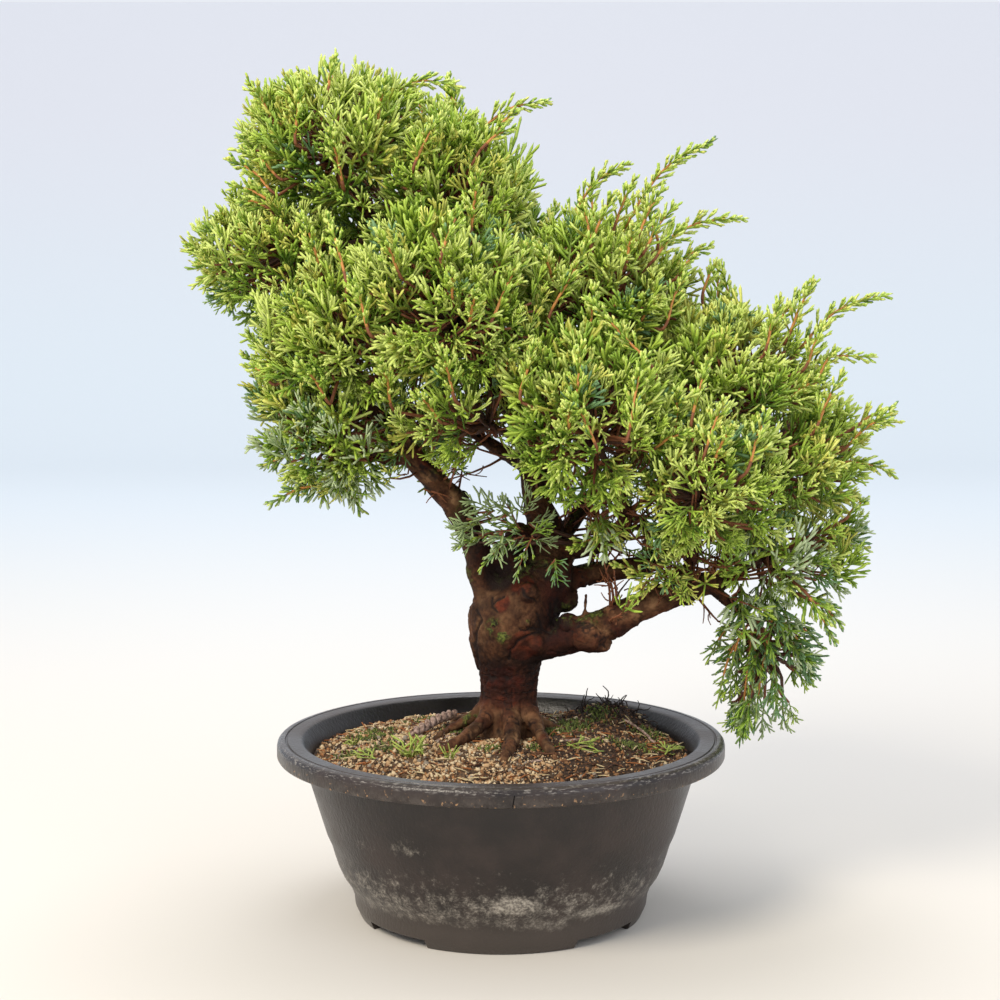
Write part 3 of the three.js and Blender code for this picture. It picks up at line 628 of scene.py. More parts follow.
SHOOTS = {                           # leading shoots, as foot, tip and how far each bows upwards
    "apex": [([-60, 0, 371], [-18, 0, 384], 9), ([-78, 0, 374], [-76, 0, 397], 0),
             ([-93, 5, 370], [-92, 5, 392], 0), ([-103, 0, 354], [-119, 0, 362], 3)],
    "shoulder": [([-15, 5, 358], [23, 5, 378], 7)],
    "left_high": [([-127, 0, 306], [-145, 0, 313], 0)],
    "mid_high": [([28, 0, 310], [59, 0, 350], 11), ([50, -5, 306], [98, -5, 360], 13),
                 ([64, 5, 301], [114, 5, 325], 9), ([74, 0, 297], [97, 0, 312], 3)],
    "right_high": [([111, 0, 268], [101, 0, 305], 0), ([120, 0, 262], [143, 0, 296], 3),
                   ([129, -5, 256], [179, -5, 290], 9), ([132, 5, 253], [175, 5, 261], 4)],
    "right_mid": [([148, 0, 222], [185, 0, 231], 3), ([148, -10, 212], [181, -10, 208], 3)],
    "right_low": [([146, 0, 172], [172, 0, 172], 2)],
    "hanging": [([116, 0, 124], [96, -4, 125], 0), ([118, 4, 102], [113, 2, 80], 0)],
    "left_low": [([-78, -5, 210], [-65, 0, 189], 0), ([-98, -5, 216], [-111, 0, 211], 0)],
    "fork_sprig": [([10, -19, 182], [-22, -20, 174], 3), ([11, -20, 180], [-10, -26, 165], 3),
                   ([9, -18, 183], [-14, -16, 188], 2), ([14, -22, 179], [6, -30, 160], 2),
                   ([8, -17, 184], [0, -20, 198], 1)],
    "low_sprig": [([64, -27, 162], [50, -32, 168], 2), ([66, -29, 160], [58, -36, 150], 0),
                  ([68, -29, 161], [82, -38, 160], 2)],
}

SEED = 1407
GOLDEN_TURN = math.pi * (3 - math.sqrt(5))
TWIGS, TWIG_REACH, TWIG_SWING = 17, 0.56, 28     # coarse twigs of a mass, how far out they end, degrees they swing
HUB_BACK = 0.3                       # how far from the centre of a mass its twigs spread, as a share to its limb
REACH = 1.0                          # depth of the crown's surface
POT_MARGIN, LIMB_MARGIN = 2, 2.5     # mm between leaves and the pot, and leaves and limbs

# Finer twigs, which the source leaves out
AREA_EACH = 68                       # mm2 of a mass's surface for each spray
OPEN_MASSES = {                      # with fewer sprays
    "heart_low": 0.5, "hanging": 0.15, "inner_right": 0.6, "right_low": 0.52, "right_mid": 0.66,
    "right_high": 0.82, "right_front": 0.88, "rear_far": 0.72, "rear_right": 0.85,
}
SMALL_SPRAYS = ("inner_right", "fork_sprig", "low_sprig")
UPWARD, WANDER = 0.62, 0.33          # how much sprays turn to the light, and at random
SPRAY_SIZE = 20                      # mm that a spray is drawn at
SPRAY_RANGE = 15, 25                 # mm of the sprays on the masses
SPRAY_LEAST = 9                      # shorter ones are left out
SMALLER = 0.75                       # size of the sprays in small masses
SHORTER, TRIES = 0.86, 7             # a spray that would leave its space is shortened, so often
BLEND = 3.4                          # how softly neighbouring masses run into one crown
FOOT_DEPTH = 0.93                    # sprays begin at least this deep
DEEPEST = 0.6                        # sprays whose tips lie deeper in the crown are left out
SHADED = 0.72                        # sprays whose tips lie deeper than this are thin, and darker as painted shade
CROWN_HEART = [15, 10, 215]          # the crown spreads away from here
OPENINGS = [                         # [x, z, radius] of gaps to the sky, on the plane of the trunk
    [-36, 244, 4.5], [-36, 235, 5], [-19, 241, 3], [-7.5, 233.5, 3.5], [-45, 323.5, 3], [48.8, 250, 3.5],
    [14, 257, 2.5], [-104, 299, 3], [-4, 204, 14], [-14, 197, 9], [9, 199, 8], [43, 195.5, 4.5],
    [50, 190, 4], [69, 190, 5], [31, 182, 5], [56, 156, 4], [42, 148, 9], [53.5, 149.5, 8], [35, 143.6, 6],
    [-20, 374, 6], [26, 329, 6], [93, 291, 6], [137, 260, 6], [153, 243, 5], [1, 358, 4], [15, 333, 4],
    [57, 322, 4], [-114, 225, 5], [-114, 271, 4], [-121, 285, 4], [-131, 331, 4], [168, 214, 4], [-87, 387, 5],
    [-131, 369, 4], [-120, 388, 5], [-58, 191, 9], [-49, 193, 5],
]
YOUNG_STEMS = [                      # seen from [x, z] to [x, z], and the bare part
    [-7.4, 272.6, 14.9, 315.7, 0.5], [-71.1, 293.3, -80, 327.1, 0.4], [21.4, 273.6, 42.8, 317.6, 0.45],
    [72.1, 250.5, 38.6, 289.2, 0.5], [35.3, 236.6, 37.2, 267.6, 0.35], [58.1, 221.7, 67, 263.4, 0.35],
    [88.4, 228.7, 95.8, 259.7, 0.35], [-59.5, 270.3, -69.8, 297.4, 0.35], [-93.9, 358, -92.1, 385, 0.3],
    [-40.5, 345.7, -27.9, 371.1, 0.35], [94.4, 214.2, 104.2, 242.1, 0.3], [113.9, 206.8, 124.6, 236.6, 0.3],
    [145.1, 225.4, 159, 254.2, 0.3], [-20.9, 240.3, -28.8, 265.3, 0.3], [-48.8, 235.6, -56.7, 260.6, 0.3],
    [-79, 239.4, -94.9, 258.8, 0.3], [9.3, 240.3, 15.8, 267.6, 0.3], [121.8, 262, 129.3, 288.3, 0.3],
    [45.6, 217, 30.7, 244.9, 0.3], [74.4, 273.6, 85.6, 300.2, 0.3], [-72.1, 337.6, -79, 365.6, 0.4],
    [-27.9, 305.7, -17.7, 330.8, 0.35],
    [-102.3, 335.3, -124.6, 352.1, 0.3], [-104.6, 330.8, -124.2, 339.4, 0.3], [-106, 328.5, -120.9, 332.1, 0.3],
    [-100, 342.1, -119.5, 355.7, 0.3], [-4.7, 360.2, 7.9, 373.8, 0.3], [-9.3, 355.7, 5.6, 365.6, 0.3],
    [41.9, 312.5, 52.1, 336.7, 0.3], [51.2, 317.1, 61.4, 343, 0.3], [61.4, 312.5, 74.4, 338.5, 0.25],
    [65.1, 308, 80, 330.8, 0.25], [69.8, 304.8, 83.7, 320.3, 0.25], [65.1, 319.4, 78.1, 351.2, 0.4],
    [80, 296.5, 90.2, 307.5, 0.2], [139.5, 254.2, 151.6, 277.2, 0.3], [145.1, 248.2, 155.3, 264.3, 0.3],
    [-104.6, 248.2, -118.1, 257, 0.2], [145.1, 147.5, 160.4, 134.3, 0.2], [141.8, 152.3, 157.2, 126.2, 0.2],
    [41.9, 310.2, 37.2, 333, 0.3], [72.1, 310.2, 65.1, 334.8, 0.3], [93, 287.3, 98.6, 304.8, 0.3],
    [116.2, 281.8, 112.5, 294.2, 0.3], [162.8, 227.3, 182.7, 237.5, 0.2], [160.4, 185.2, 171.1, 194.6, 0.2],
    [-79, 380.5, -76.7, 397.1, 0.3],
]
SHOOTS_EACH = 5                      # more of them on every mass, all round
DROOPING = [                         # tips of the drooping shoots
    [113, 2, 77], [101, -4, 97], [96, -4, 118], [118, -10, 86], [121, 6, 92], [130, -4, 103], [140, 8, 109],
    [147, -6, 115], [152, 4, 124], [112, 12, 104], [122, 16, 102], [136, 14, 118], [106, -10, 112],
    [128, -14, 108], [118, -4, 100],
]
DROOP = (0, 0, -1.3)                 # turns the headings of the hanging sprays down
SHOOT_STEPS = 24                     # points along a shoot
SHOOT_RADII = 0.8, 0.35              # mm at its foot and tip
FAN_EACH = {"hanging": 2.1}          # mm of a shoot for each fan of branchlets, other than 1.5
CORD_SHARE = {"fork_sprig": 0.62, "hanging": 0.74}   # thickness of its cords, other than 0.95
FAN_PLACES = (0.28, -1), (0.46, 1), (0.64, -1)       # where branchlets leave a fan's middle, and the side
SPARE = 0.002                        # metres that leaf tips may stand out of the plant's whole box


def seeded(seed):
    """The source's repeatable random numbers from 0 to 1."""
    state = seed
    full = 0xFFFFFFFF
    while True:
        state = (state + 0x6D2B79F5) & full
        mixed = (state ^ (state >> 15)) * (state | 1) & full
        mixed ^= (mixed + ((mixed ^ (mixed >> 7)) * (mixed | 61) & full)) & full
        yield ((mixed ^ (mixed >> 14)) & full) / 2 ** 32


class Space:
    """The space of a mass: an ellipsoid that leans to one side."""

    def __init__(self, name, row):
        self.name = name
        self.limb, self.place, centre, half, lean, self.core = row
        self.centre, self.half = np.array(centre, float), np.array(half, float)
        turn = math.radians(lean)
        self.turn = np.array([[math.cos(turn), 0, math.sin(turn)], [0, 1, 0],
                              [-math.sin(turn), 0, math.cos(turn)]])

    def depth(self, points):
        """0 at the centre and 1 at the surface."""
        return np.linalg.norm(self.flat(points - self.centre), axis=-1)

    def flat(self, ways):
        return ways @ self.turn / self.half

    def inside(self, ways, share):
        return self.centre + (np.asarray(ways) * self.half * np.expand_dims(share, -1)) @ self.turn.T


spaces = [Space(name, row) for name, row in FOLIAGE.items()]


def crown_depth(points):
    """0 in the middle of a mass and 1 at the crown's surface, where neighbours blend."""
    depths = np.array([space.depth(points) for space in spaces if space.core > 0])
    least = depths.min(axis=0)
    return least - np.log(np.exp(-BLEND * (depths - least)).sum(axis=0)) / BLEND


def clear_of_openings(points):
    seen = seen_from_front(points)
    return np.all([np.hypot(seen[:, 0] - x, seen[:, 1] - z) > radius for x, z, radius in OPENINGS], axis=0)


def owned(space, points):
    """Whether points lie in the crown, nearest this mass, clear of the pot and open to the sky gaps."""
    depth = space.depth(points)
    good = (depth if space.core == 0 else crown_depth(points)) <= REACH
    near_pot = np.hypot(points[:, 0], points[:, 1]) < RIM_RADIUS + POT_MARGIN
    good &= ~(near_pot & (points[:, 2] < RIM_TOP + POT_MARGIN))
    for other in spaces:
        if other is not space:
            good &= other.depth(points) > depth
    return good & clear_of_openings(points)


def limb_gap(points):
    gaps = [np.linalg.norm(points - row[:3], axis=1) - row[6] for row in LINES[::3]]
    return np.min(gaps, axis=0)


def spiral(count, yaw):
    k = np.arange(count)
    height = 1 - 2 * (k + 0.5) / count
    flat = np.sqrt(1 - height ** 2)
    turn = k * GOLDEN_TURN + yaw
    return np.stack([flat * np.cos(turn), flat * np.sin(turn), height], 1)


def turned(ways, axes, angles):
    """Ways turned about axes."""
    cos, sin = np.cos(angles)[:, None], np.sin(angles)[:, None]
    return ways * cos + np.cross(axes, ways) * sin + axes * (axes * ways).sum(1)[:, None] * (1 - cos)


# ---------------------------------------------------------------- sprays


def cord_faces(rings):
    """Triangles of a three-sided cord: its closed foot, its sides and its tip."""
    top = 3 * (rings - 1)
    sides = [face for row in range(0, top, 3) for k in range(3) for face in (
        [row + k, row + (k + 1) % 3, row + 3 + (k + 1) % 3], [row + k, row + 3 + (k + 1) % 3, row + 3 + k])]
    return np.array([[0, 2, 1], *sides, *([top + k, top + (k + 1) % 3, top + 3] for k in range(3))])


CORD_RADIUS = 0.67
SIDE_TURNS = [(math.cos(a), math.sin(a)) for a in (0, 2 * math.pi / 3, 4 * math.pi / 3)]


def cords(base, middle, end, radius, bent=True):
    """Scale-leaved branchlets: three-sided cords with rounded ends, base to end, as (n, 3) points.

    Gives points, faces and which faces belong to the outer half."""
    first, last = unit(middle - base), unit(end - middle)
    side = unit(np.cross(first, unit(np.roll(first, 1, axis=1) + (0.3, 0.7, 0.2))))
    rings = []
    if bent:
        rows = ((base, first, 0.8), (middle, unit(first + last), 1), (middle + 0.76 * (end - middle), last, 0.92))
    else:
        rows = ((base, first, 0.8), (middle + 0.7 * (end - middle), last, 1))
    for centre, way, share in rows:
        a = unit(side - (side * way).sum(1)[:, None] * way)
        b = np.cross(way, a)
        for cos, sin in SIDE_TURNS:
            rings.append(centre + (radius * share)[:, None] * (a * cos + b * sin))
    points = np.stack([*rings, end], 1)
    one = cord_faces(len(rows))
    outer = np.tile(np.arange(len(one)) > (6 if bent else 0), len(base))
    return points.reshape(-1, 3), repeated(one, points.shape[1], len(base)), outer


FLATTEN = 0.7                        # sprays are a little flatter than round


def draw_spray(seed, laterals, subs=2, opening=1.0):
    """One spray along X, SPRAY_SIZE long: an axis, side branchlets round it and smaller ones on them."""
    dice = np.random.default_rng(seed)
    rows = {"side": [], "small": []}
    sway = dice.uniform(-1, 1, 2) * 1.2

    def axis(t):
        return np.array([t * SPRAY_SIZE, sway[0] * math.sin(3 * t), sway[1] * math.sin(2.4 * t)])

    def add(foot, way, length, width, lift, kind):
        knee = foot + way * 0.5 * length
        tip = knee + unit(way + lift) * 0.5 * length
        rows[kind].append((foot, knee, tip, width))
        return foot, knee, tip

    forward = np.array([1.0, 0, 0])
    yaw = dice.uniform(0, 6.28)
    for k in range(laterals):
        t = 0.04 + 0.8 * k / laterals + dice.uniform(-0.03, 0.03)
        turn = yaw + k * GOLDEN_TURN + dice.uniform(-0.3, 0.3)
        lean = math.radians(54 - 20 * t + dice.uniform(-11, 11)) * opening
        around = unit(np.array([0, math.cos(turn), FLATTEN * math.sin(turn)]))
        way = math.cos(lean) * forward + math.sin(lean) * around
        length = SPRAY_SIZE * (0.76 - 0.4 * t) * dice.uniform(0.75, 1.2)
        foot, knee, tip = add(axis(t), way, length, CORD_RADIUS, 0.62 * forward, "side")
        for m in range(subs):
            spot = foot + (knee - foot) * 0.6 if m % 2 == 0 else knee + (tip - knee) * 0.2
            swing = np.cross(way, unit(dice.normal(size=3)))
            branch = unit(way + 0.75 * unit(swing) + 0.25 * forward)
            small = length * (0.54 - 0.1 * m) * dice.uniform(0.8, 1.25)
            add(spot, branch, small, CORD_RADIUS * 0.92, 0.5 * way, "small")
    add(axis(0.78), unit(axis(1.0) - axis(0.8)), 0.24 * SPRAY_SIZE, CORD_RADIUS, 0 * forward, "side")
    made = [cords(*(np.array(column) for column in zip(*rows[kind])), kind == "side") for kind in rows]
    points, faces = join([part[:2] for part in made])
    tips = np.concatenate([part[2] for part in made])
    stem_path = np.array([axis(t) for t in (-0.02, 0.3, 0.6, 0.88)])
    stem = tube(stem_path, [0.62, 0.55, 0.45, 0.3], 3)
    return points, faces, tips, stem


SPRAYS = [draw_spray(SEED + k, 8, opening=0.72 + 0.035 * k) for k in range(12)]
THIN_SPRAYS = [draw_spray(SEED + 40 + k, 6, 1, 1.15) for k in range(6)]


def placed(templates, choice, feet, ways, rolls, sizes, lift, pairs):
    """Copies of spray templates at feet, along ways, bent upwards; gives the leaves, the stems and the tints."""
    leaves, stems, tints = [], [], []
    for index, (points, faces, tips, stem) in enumerate(templates):
        rows = np.flatnonzero(choice == index)
        if not len(rows):
            continue
        way = ways[rows]
        side = unit(np.cross(way, [0.13, 0.21, 1.0]))
        other = np.cross(way, side)
        cos, sin = np.cos(rolls[rows])[:, None], np.sin(rolls[rows])[:, None]
        frames = np.stack([way, side * cos + other * sin, other * cos - side * sin], 1)
        scale = sizes[rows] / SPRAY_SIZE
        for made, body, body_faces in ((leaves, points, faces), (stems, *stem)):
            spots = np.einsum("pk,nkj->npj", body, frames) * scale[:, None, None]
            run = np.clip(body[:, 0] / SPRAY_SIZE, 0, 1.3)[None] * scale[:, None]
            spots[..., 2] += lift[rows][:, None] * run ** 2
            spots += feet[rows][:, None]
            made.append((spots.reshape(-1, 3), repeated(body_faces, len(body), len(rows))))
        tints.append(PAIR_TINTS[np.repeat(pairs[rows], len(faces)), np.tile(tips, len(rows)).astype(int)])
    return join(leaves), join(stems), np.concatenate(tints)


def add_twigs(twigs, kind, start, end, bow):
    """Adds three-sided twigs of three steps between (n, 3) points, bowed, all at once."""
    first, last, bark = TWIG_KINDS[kind]
    rows = []
    way = unit(end - start)
    a = unit(np.cross(way, [0.2, 0.9, 0.35]))
    b = np.cross(way, a)
    for t in np.linspace(0, 1, 4):
        centre = start + (end - start) * t + bow * (4 * t * (1 - t))
        radius = first + (last - first) * t
        rows += [centre + radius * (a * cos + b * sin) for cos, sin in SIDE_TURNS]
    points = np.stack(rows, 1)
    faces = [[0, 2, 1], [9, 10, 11]]
    for row in (0, 3, 6):
        for k in range(3):
            n = (k + 1) % 3
            faces += [[row + k, row + n, row + 3 + n], [row + k, row + 3 + n, row + 3 + k]]
    twigs.append(((points.reshape(-1, 3), repeated(np.array(faces), 12, len(start))), bark))


LEAVES = {
    name: new_finish(name, code, 0.42, Specular_IOR_Level=0.4)[0] for name, code in (
        ("scale_leaf_shaded", "#61852A"), ("scale_leaf_mid", "#8DAC3E"), ("scale_leaf_fresh", "#ABC44C"),
        ("scale_leaf_tip", "#C9D872"), ("scale_leaf_olive", "#B2B44E"), ("scale_leaf_blue_green", "#6C8F5E"),
        ("needle_leaf_grey_green", "#98AC76"), ("scale_leaf_yellow", "#DADC70"), ("scale_leaf_silver", "#B4C496"),
    )
}
TWIG_FINISHES = [new_finish(name, code, 0.7)[0] for name, code in (
    ("twig_bark_old", "#4E3022"), ("twig_bark_red_brown", "#7E4A2C"), ("shoot_bark_orange", "#C08244"),
    ("shoot_bark_green", "#7B8F3C"))]
OLD, RED_BROWN, ORANGE, GREEN = range(4)
TWIG_KINDS = {                       # mm radius at foot and tip, and bark
    "coarse": (1.5, 0.8, OLD), "fine": (0.75, 0.6, RED_BROWN), "to_shoot": (1.1, 0.8, RED_BROWN),
    "on_bough": (0.8, 0.4, RED_BROWN), "fork": (0.45, 0.25, RED_BROWN), "single": (0.8, 0.5, RED_BROWN),
}
STEM_RADII = 2.1, 1.5                # mm of the stem of a mass
DARK, MID, LIGHT, TIP, OLIVE, BLUE, GREY, YELLOW, SILVER = range(9)
PAIR_TINTS = np.array([              # of the inner and the outer half of a spray
    [DARK, MID], [MID, LIGHT], [LIGHT, TIP], [MID, OLIVE], [OLIVE, TIP], [DARK, BLUE], [GREY, GREY],
    [LIGHT, YELLOW], [MID, SILVER],
])
# The rows under and inner deal darker tints: painted shade under the masses and deep in the crown; sunny deals
# brighter tints: painted light on the lit masses.
ODDS = {                             # share of sprays that take each pair, by where they grow
    "outer": [0.08, 0.36, 0.32, 0.07, 0.1, 0.03, 0, 0.04, 0],
    "sunny": [0.03, 0.28, 0.36, 0.04, 0.18, 0.03, 0, 0.08, 0],
    "silvery": [0.12, 0.2, 0.12, 0.03, 0.05, 0.12, 0.05, 0.02, 0.29],
    "under": [0.42, 0.38, 0.06, 0.06, 0.02, 0.06, 0, 0, 0],
    "inner": [0.7, 0.16, 0, 0.06, 0, 0.08, 0, 0, 0],
    "lit_inside": [0.2, 0.4, 0.1, 0.1, 0, 0.12, 0, 0.08, 0],
    "hanging": [0.14, 0.04, 0, 0, 0, 0.4, 0.24, 0, 0.18],
    "fork_sprig": [0.12, 0.2, 0, 0, 0, 0.2, 0.48, 0, 0],
    "low_sprig": [0, 0.05, 0.25, 0, 0.1, 0, 0, 0.6, 0],
}
OUTER = {"mid_high": "sunny", "right_high": "sunny", "right_mid": "sunny", "right_front": "sunny",
         "right_low": "silvery", "left_low": "silvery"}


def dealt(dice, place, count):
    odds = np.array(ODDS[place], float)
    return dice.choice(len(odds), count, p=odds / odds.sum())


def first_twigs(space, index, foot, hub):
    """The source's rule for a mass: ways, starts and ends of its coarse twigs, and how the sprays on them head."""
    random = seeded(SEED + index)
    ways = spiral(TWIGS, next(random) * 2 * math.pi)
    ends = space.inside(ways, np.full(TWIGS, TWIG_REACH))
    along = (np.arange(TWIGS) + 1) / TWIGS if space.core == 0 else np.ones(TWIGS)
    starts = foot + (hub - foot) * along[:, None]
    draws = np.array([[next(random) for _ in range(5)] for _ in range(TWIGS)])
    headings = unit(space.inside(ways, np.ones(TWIGS)) - ends)
    headings = turned(headings, unit(draws[:, :3] - 0.5), np.radians(TWIG_SWING * (2 * draws[:, 3] - 1)))
    return ways, starts, ends, headings


def finer_sprays(space, dice):
    """Feet and headings of the many sprays all over a mass, which turn outwards and up to the light."""
    a, b, c = space.half
    area = 4 * math.pi * (((a * b) ** 1.6 + (a * c) ** 1.6 + (b * c) ** 1.6) / 3) ** (1 / 1.6)
    count = int(area / AREA_EACH * OPEN_MASSES.get(space.name, 1))
    ways = unit(spiral(count, dice.uniform(0, 6.28)) + dice.normal(scale=0.12, size=(count, 3)))
    feet = space.inside(ways, dice.uniform(0.45, 1.35, count))
    radial = unit(feet - space.centre)
    lift = UPWARD * smooth_step(radial[:, 2], -0.9, 0.05)[:, None]
    heads = unit(0.4 * radial + 0.4 * unit(feet - CROWN_HEART) + lift * (0, 0, 1))
    return feet, unit(heads + dice.normal(scale=WANDER, size=(count, 3)))


def fitted(space, feet, heads, size):
    """The sprays that stay in the mass's own space, shortened where that helps."""
    for _ in range(TRIES):
        size = np.where(owned(space, feet + heads * size[:, None]), size, size * SHORTER)
    tips = feet + heads * size[:, None]
    keep = (size > SPRAY_LEAST) & owned(space, tips) & owned(space, feet)
    keep &= owned(space, (feet + tips) / 2) & in_box(tips)
    for share in (0, 0.5, 1):
        keep &= limb_gap(feet + heads * (share * size)[:, None]) > LIMB_MARGIN
    if space.core > 0:
        keep &= (crown_depth(feet) < FOOT_DEPTH) & (crown_depth(tips) > DEEPEST)
    return feet[keep], heads[keep], size[keep]


def grow_mass(space, index, twigs):
    """Grows a mass by the source's rule, carried on to finer twigs; gives its leaves and tints, and adds to twigs."""
    dice = np.random.default_rng(SEED + index)
    foot = limbs[space.limb].at(space.place)[0]
    hub = space.centre + (foot - space.centre) * HUB_BACK
    ways, starts, begins, heads = first_twigs(space, index, foot, hub)
    feet = begins
    if space.core > 0:
        feet, heads = (np.vstack(both) for both in zip((feet, heads), finer_sprays(space, dice)))
    if space.name == "hanging":
        heads = unit(heads + DROOP)
    size = dice.uniform(*SPRAY_RANGE, len(feet)) * (SMALLER if space.name in SMALL_SPRAYS else 1)
    feet, heads, size = fitted(space, feet, heads, size)
    count = len(feet)

    parent = np.argmax(space.flat(feet - space.centre) @ ways.T, axis=1)
    leave = starts[parent] + (begins[parent] - starts[parent]) * dice.uniform(0.35, 0.8, count)[:, None]
    bow = dice.normal(scale=0.8, size=(count, 3)) - (0, 0, 1)
    add_twigs(twigs, "fine", leave, feet, bow)
    used = np.unique(parent)
    bow = dice.normal(scale=1.2, size=(len(used), 3))
    add_twigs(twigs, "coarse", starts[used], begins[used], bow)
    stem = np.linspace(0, 1, 5)[:, None] * (hub - foot) + foot
    twigs.append((tube(stem, np.linspace(*STEM_RADII, 5) * (1 if space.core > 0 else 0.5), 6), OLD))

    # Sprays deep in the crown and under a mass take darker tints: painted shade.
    inner = crown_depth(feet + heads * size[:, None]) < SHADED
    under = (feet[:, 2] < space.centre[2] - 0.5 * space.half[2]) & ~inner
    thin = np.where(inner, dice.integers(0, len(THIN_SPRAYS), count), -1)
    full = np.where(inner, -1, dice.integers(0, len(SPRAYS), count))
    pairs = dealt(dice, OUTER.get(space.name, "outer"), count)
    pairs = np.where(under, dealt(dice, "under", count), pairs)
    pairs = np.where(inner, dealt(dice, "inner", count), pairs)
    if space.name in ODDS:
        pairs = dealt(dice, space.name, count)
    rolls = dice.uniform(0, 6.28, count)
    lift = dice.uniform(0, 3.5, count)
    leaves, tints = [], []
    for templates, choice, kind in ((SPRAYS, full, GREEN), (THIN_SPRAYS, thin, RED_BROWN)):
        if (choice >= 0).any():
            leaf, stems, tint = placed(templates, choice, feet, heads, rolls, size, lift, pairs)
            leaves.append(leaf)
            tints.append(tint)
            twigs.append((stems, kind))
    shoots = [(*row, 0.02) for row in SHOOTS.get(space.name, [])]
    for row in shoots + young_shoots(space, foot, dice):
        leaf, tint = grow_shoot(space, hub, row, dice, twigs)
        leaves.append(leaf)
        tints.append(tint)
        if space.core > 0:
            source = foot if space.name == "hanging" else hub
            add_twigs(twigs, "to_shoot", source[None], np.array([row[0]], float), dice.normal(scale=1, size=(1, 3)))
    return *join(leaves), np.concatenate(tints)


def seen_at(x, z, y):
    """The point at depth y that is seen through [x, z] on the plane of the trunk."""
    aim = np.array([x, 0, z]) - EYE
    return EYE + aim * ((np.asarray(y, float) - EYE[1]) / -EYE[1])[..., None]


def on_crown(x, z, depth):
    """Where the line of sight through [x, z] first comes to a depth of the crown."""
    line = seen_at(x, z, np.linspace(-115, 60, 120))
    inside = np.flatnonzero(crown_depth(line) < depth)
    return line[inside[0]] if len(inside) else None


def young_shoots(space, foot, dice):
    """Rows like those of SHOOTS, with the part that is bare, for the young stems on the crown's face."""
    rows = []
    if space.name == "hanging":
        for tip in DROOPING:
            start = foot + (np.array(tip) - foot) * dice.uniform(0.05, 0.4) + dice.normal(size=3) * 3 + (0, 0, 5)
            rows.append((start, tip, 7, 0.15))
        return rows
    if space.core == 0:
        return rows
    for x, z, end_x, end_z, bare in YOUNG_STEMS:
        start, tip = on_crown(x, z, 0.9), on_crown(end_x, end_z, 1.0)
        if start is not None and all(space.depth(start) <= other.depth(start) for other in spaces):
            tip = seen_at(end_x, end_z, start[1] if tip is None else tip[1] - 7)
            rows.append((start, tip, 2, 0.6 * bare))
    for _ in range(SHOOTS_EACH):
        out = unit(dice.normal(size=3) + (0, 0, 0.5))
        start = space.inside(out, 0.8)
        heading = unit(0.7 * out + 0.4 * unit(start - CROWN_HEART) + (0, 0, 0.6))
        tip = start + heading * dice.uniform(20, 32)
        if owned(space, start[None])[0] and crown_depth(tip[None])[0] > 0.95 and in_box(tip[None])[0]:
            rows.append((start, tip, 2, 0.15))
    return rows


def in_box(points):
    """Whether points lie within the crown's whole width, depth and height."""
    reach = metres(points)
    return ((reach > np.array(cad_box[0]) - SPARE) & (reach < np.array(cad_box[1]) + SPARE)).all(axis=1)


def grow_shoot(space, hub, row, dice, twigs):
    """A leading shoot: a young axis with fans of branchlets that shorten towards its tip."""
    start, tip, bow, bare = row
    start, tip = np.array(start, float), np.array(tip, float)
    length = np.linalg.norm(tip - start)
    axis = spline([hub, start, (start + tip) / 2 + (0, 0, bow), tip], np.linspace(1 / 3, 1, SHOOT_STEPS))
    run = np.linspace(0, 1, SHOOT_STEPS)
    way = unit(np.gradient(axis, axis=0))
    count = int(length * (1 - bare) / FAN_EACH.get(space.name, 1.5))
    share = np.linspace(bare, 0.93, count)
    spot, head = (np.stack([np.interp(share, run, values[:, k]) for k in range(3)], 1) for values in (axis, way))
    head = unit(head)
    side = unit(np.cross(head, [0.2, 0.4, 1]))
    other = np.cross(head, side)
    turn = np.arange(count) * GOLDEN_TURN + dice.uniform(0, 6)
    if space.name == "hanging":      # flat, like a fern
        turn = np.arange(count) * math.pi + dice.uniform(0, 3) + dice.normal(scale=0.35, size=count)
    turn = turn[:, None]
    around = side * np.cos(turn) + other * np.sin(turn)
    lean = np.radians(46 - 16 * share + dice.uniform(-9, 9, count))[:, None]
    out = unit(head * np.cos(lean) + around * np.sin(lean))
    size = (14.5 - 10 * share ** 0.8)[:, None] * dice.uniform(0.7, 1.15, (count, 1)) * min(1, length / 34 + 0.3)
    if space.core == 0:
        size *= 0.8
    knee = spot + out * size * 0.5
    rows = [(spot, knee, knee + unit(out + 0.6 * head + (0, 0, 0.1)) * size * 0.5)]
    for place, swing in FAN_PLACES:
        long = np.flatnonzero(size[:, 0] * (1 - place) > 2.4)
        branch = unit(out + 0.75 * swing * np.cross(out, head) + 0.3 * head)[long]
        foot = (spot + out * size * place)[long]
        small = size[long] * (1 - place) * 0.72 * dice.uniform(0.7, 1.2, (len(long), 1))
        knee = foot + branch * small * 0.5
        rows.append((foot, knee, knee + unit(branch + 0.5 * out[long]) * small * 0.5))
    rows.append((axis[-5:-4], axis[-3:-2], axis[-1:] + way[-1:] * 1.2))
    base, knee, end = (np.vstack(column) for column in zip(*rows))
    *leaf, outer = cords(base, knee, end, np.full(len(base), CORD_RADIUS * CORD_SHARE.get(space.name, 0.95)))
    pairs = dealt(dice, space.name if space.name in ODDS else OUTER.get(space.name, "outer"), len(base))
    tints = PAIR_TINTS[np.repeat(pairs, len(outer) // len(base)), outer.astype(int)]
    radii = np.linspace(*SHOOT_RADII, SHOOT_STEPS) * (0.65 if space.core == 0 else 1)
    for first, last, kind in ((0, 5, RED_BROWN), (4, 17, ORANGE if space.core > 0 else RED_BROWN), (16, 23, GREEN)):
        twigs.append((tube(axis[first:last], radii[first:last], 5), kind))
    return leaf, tints


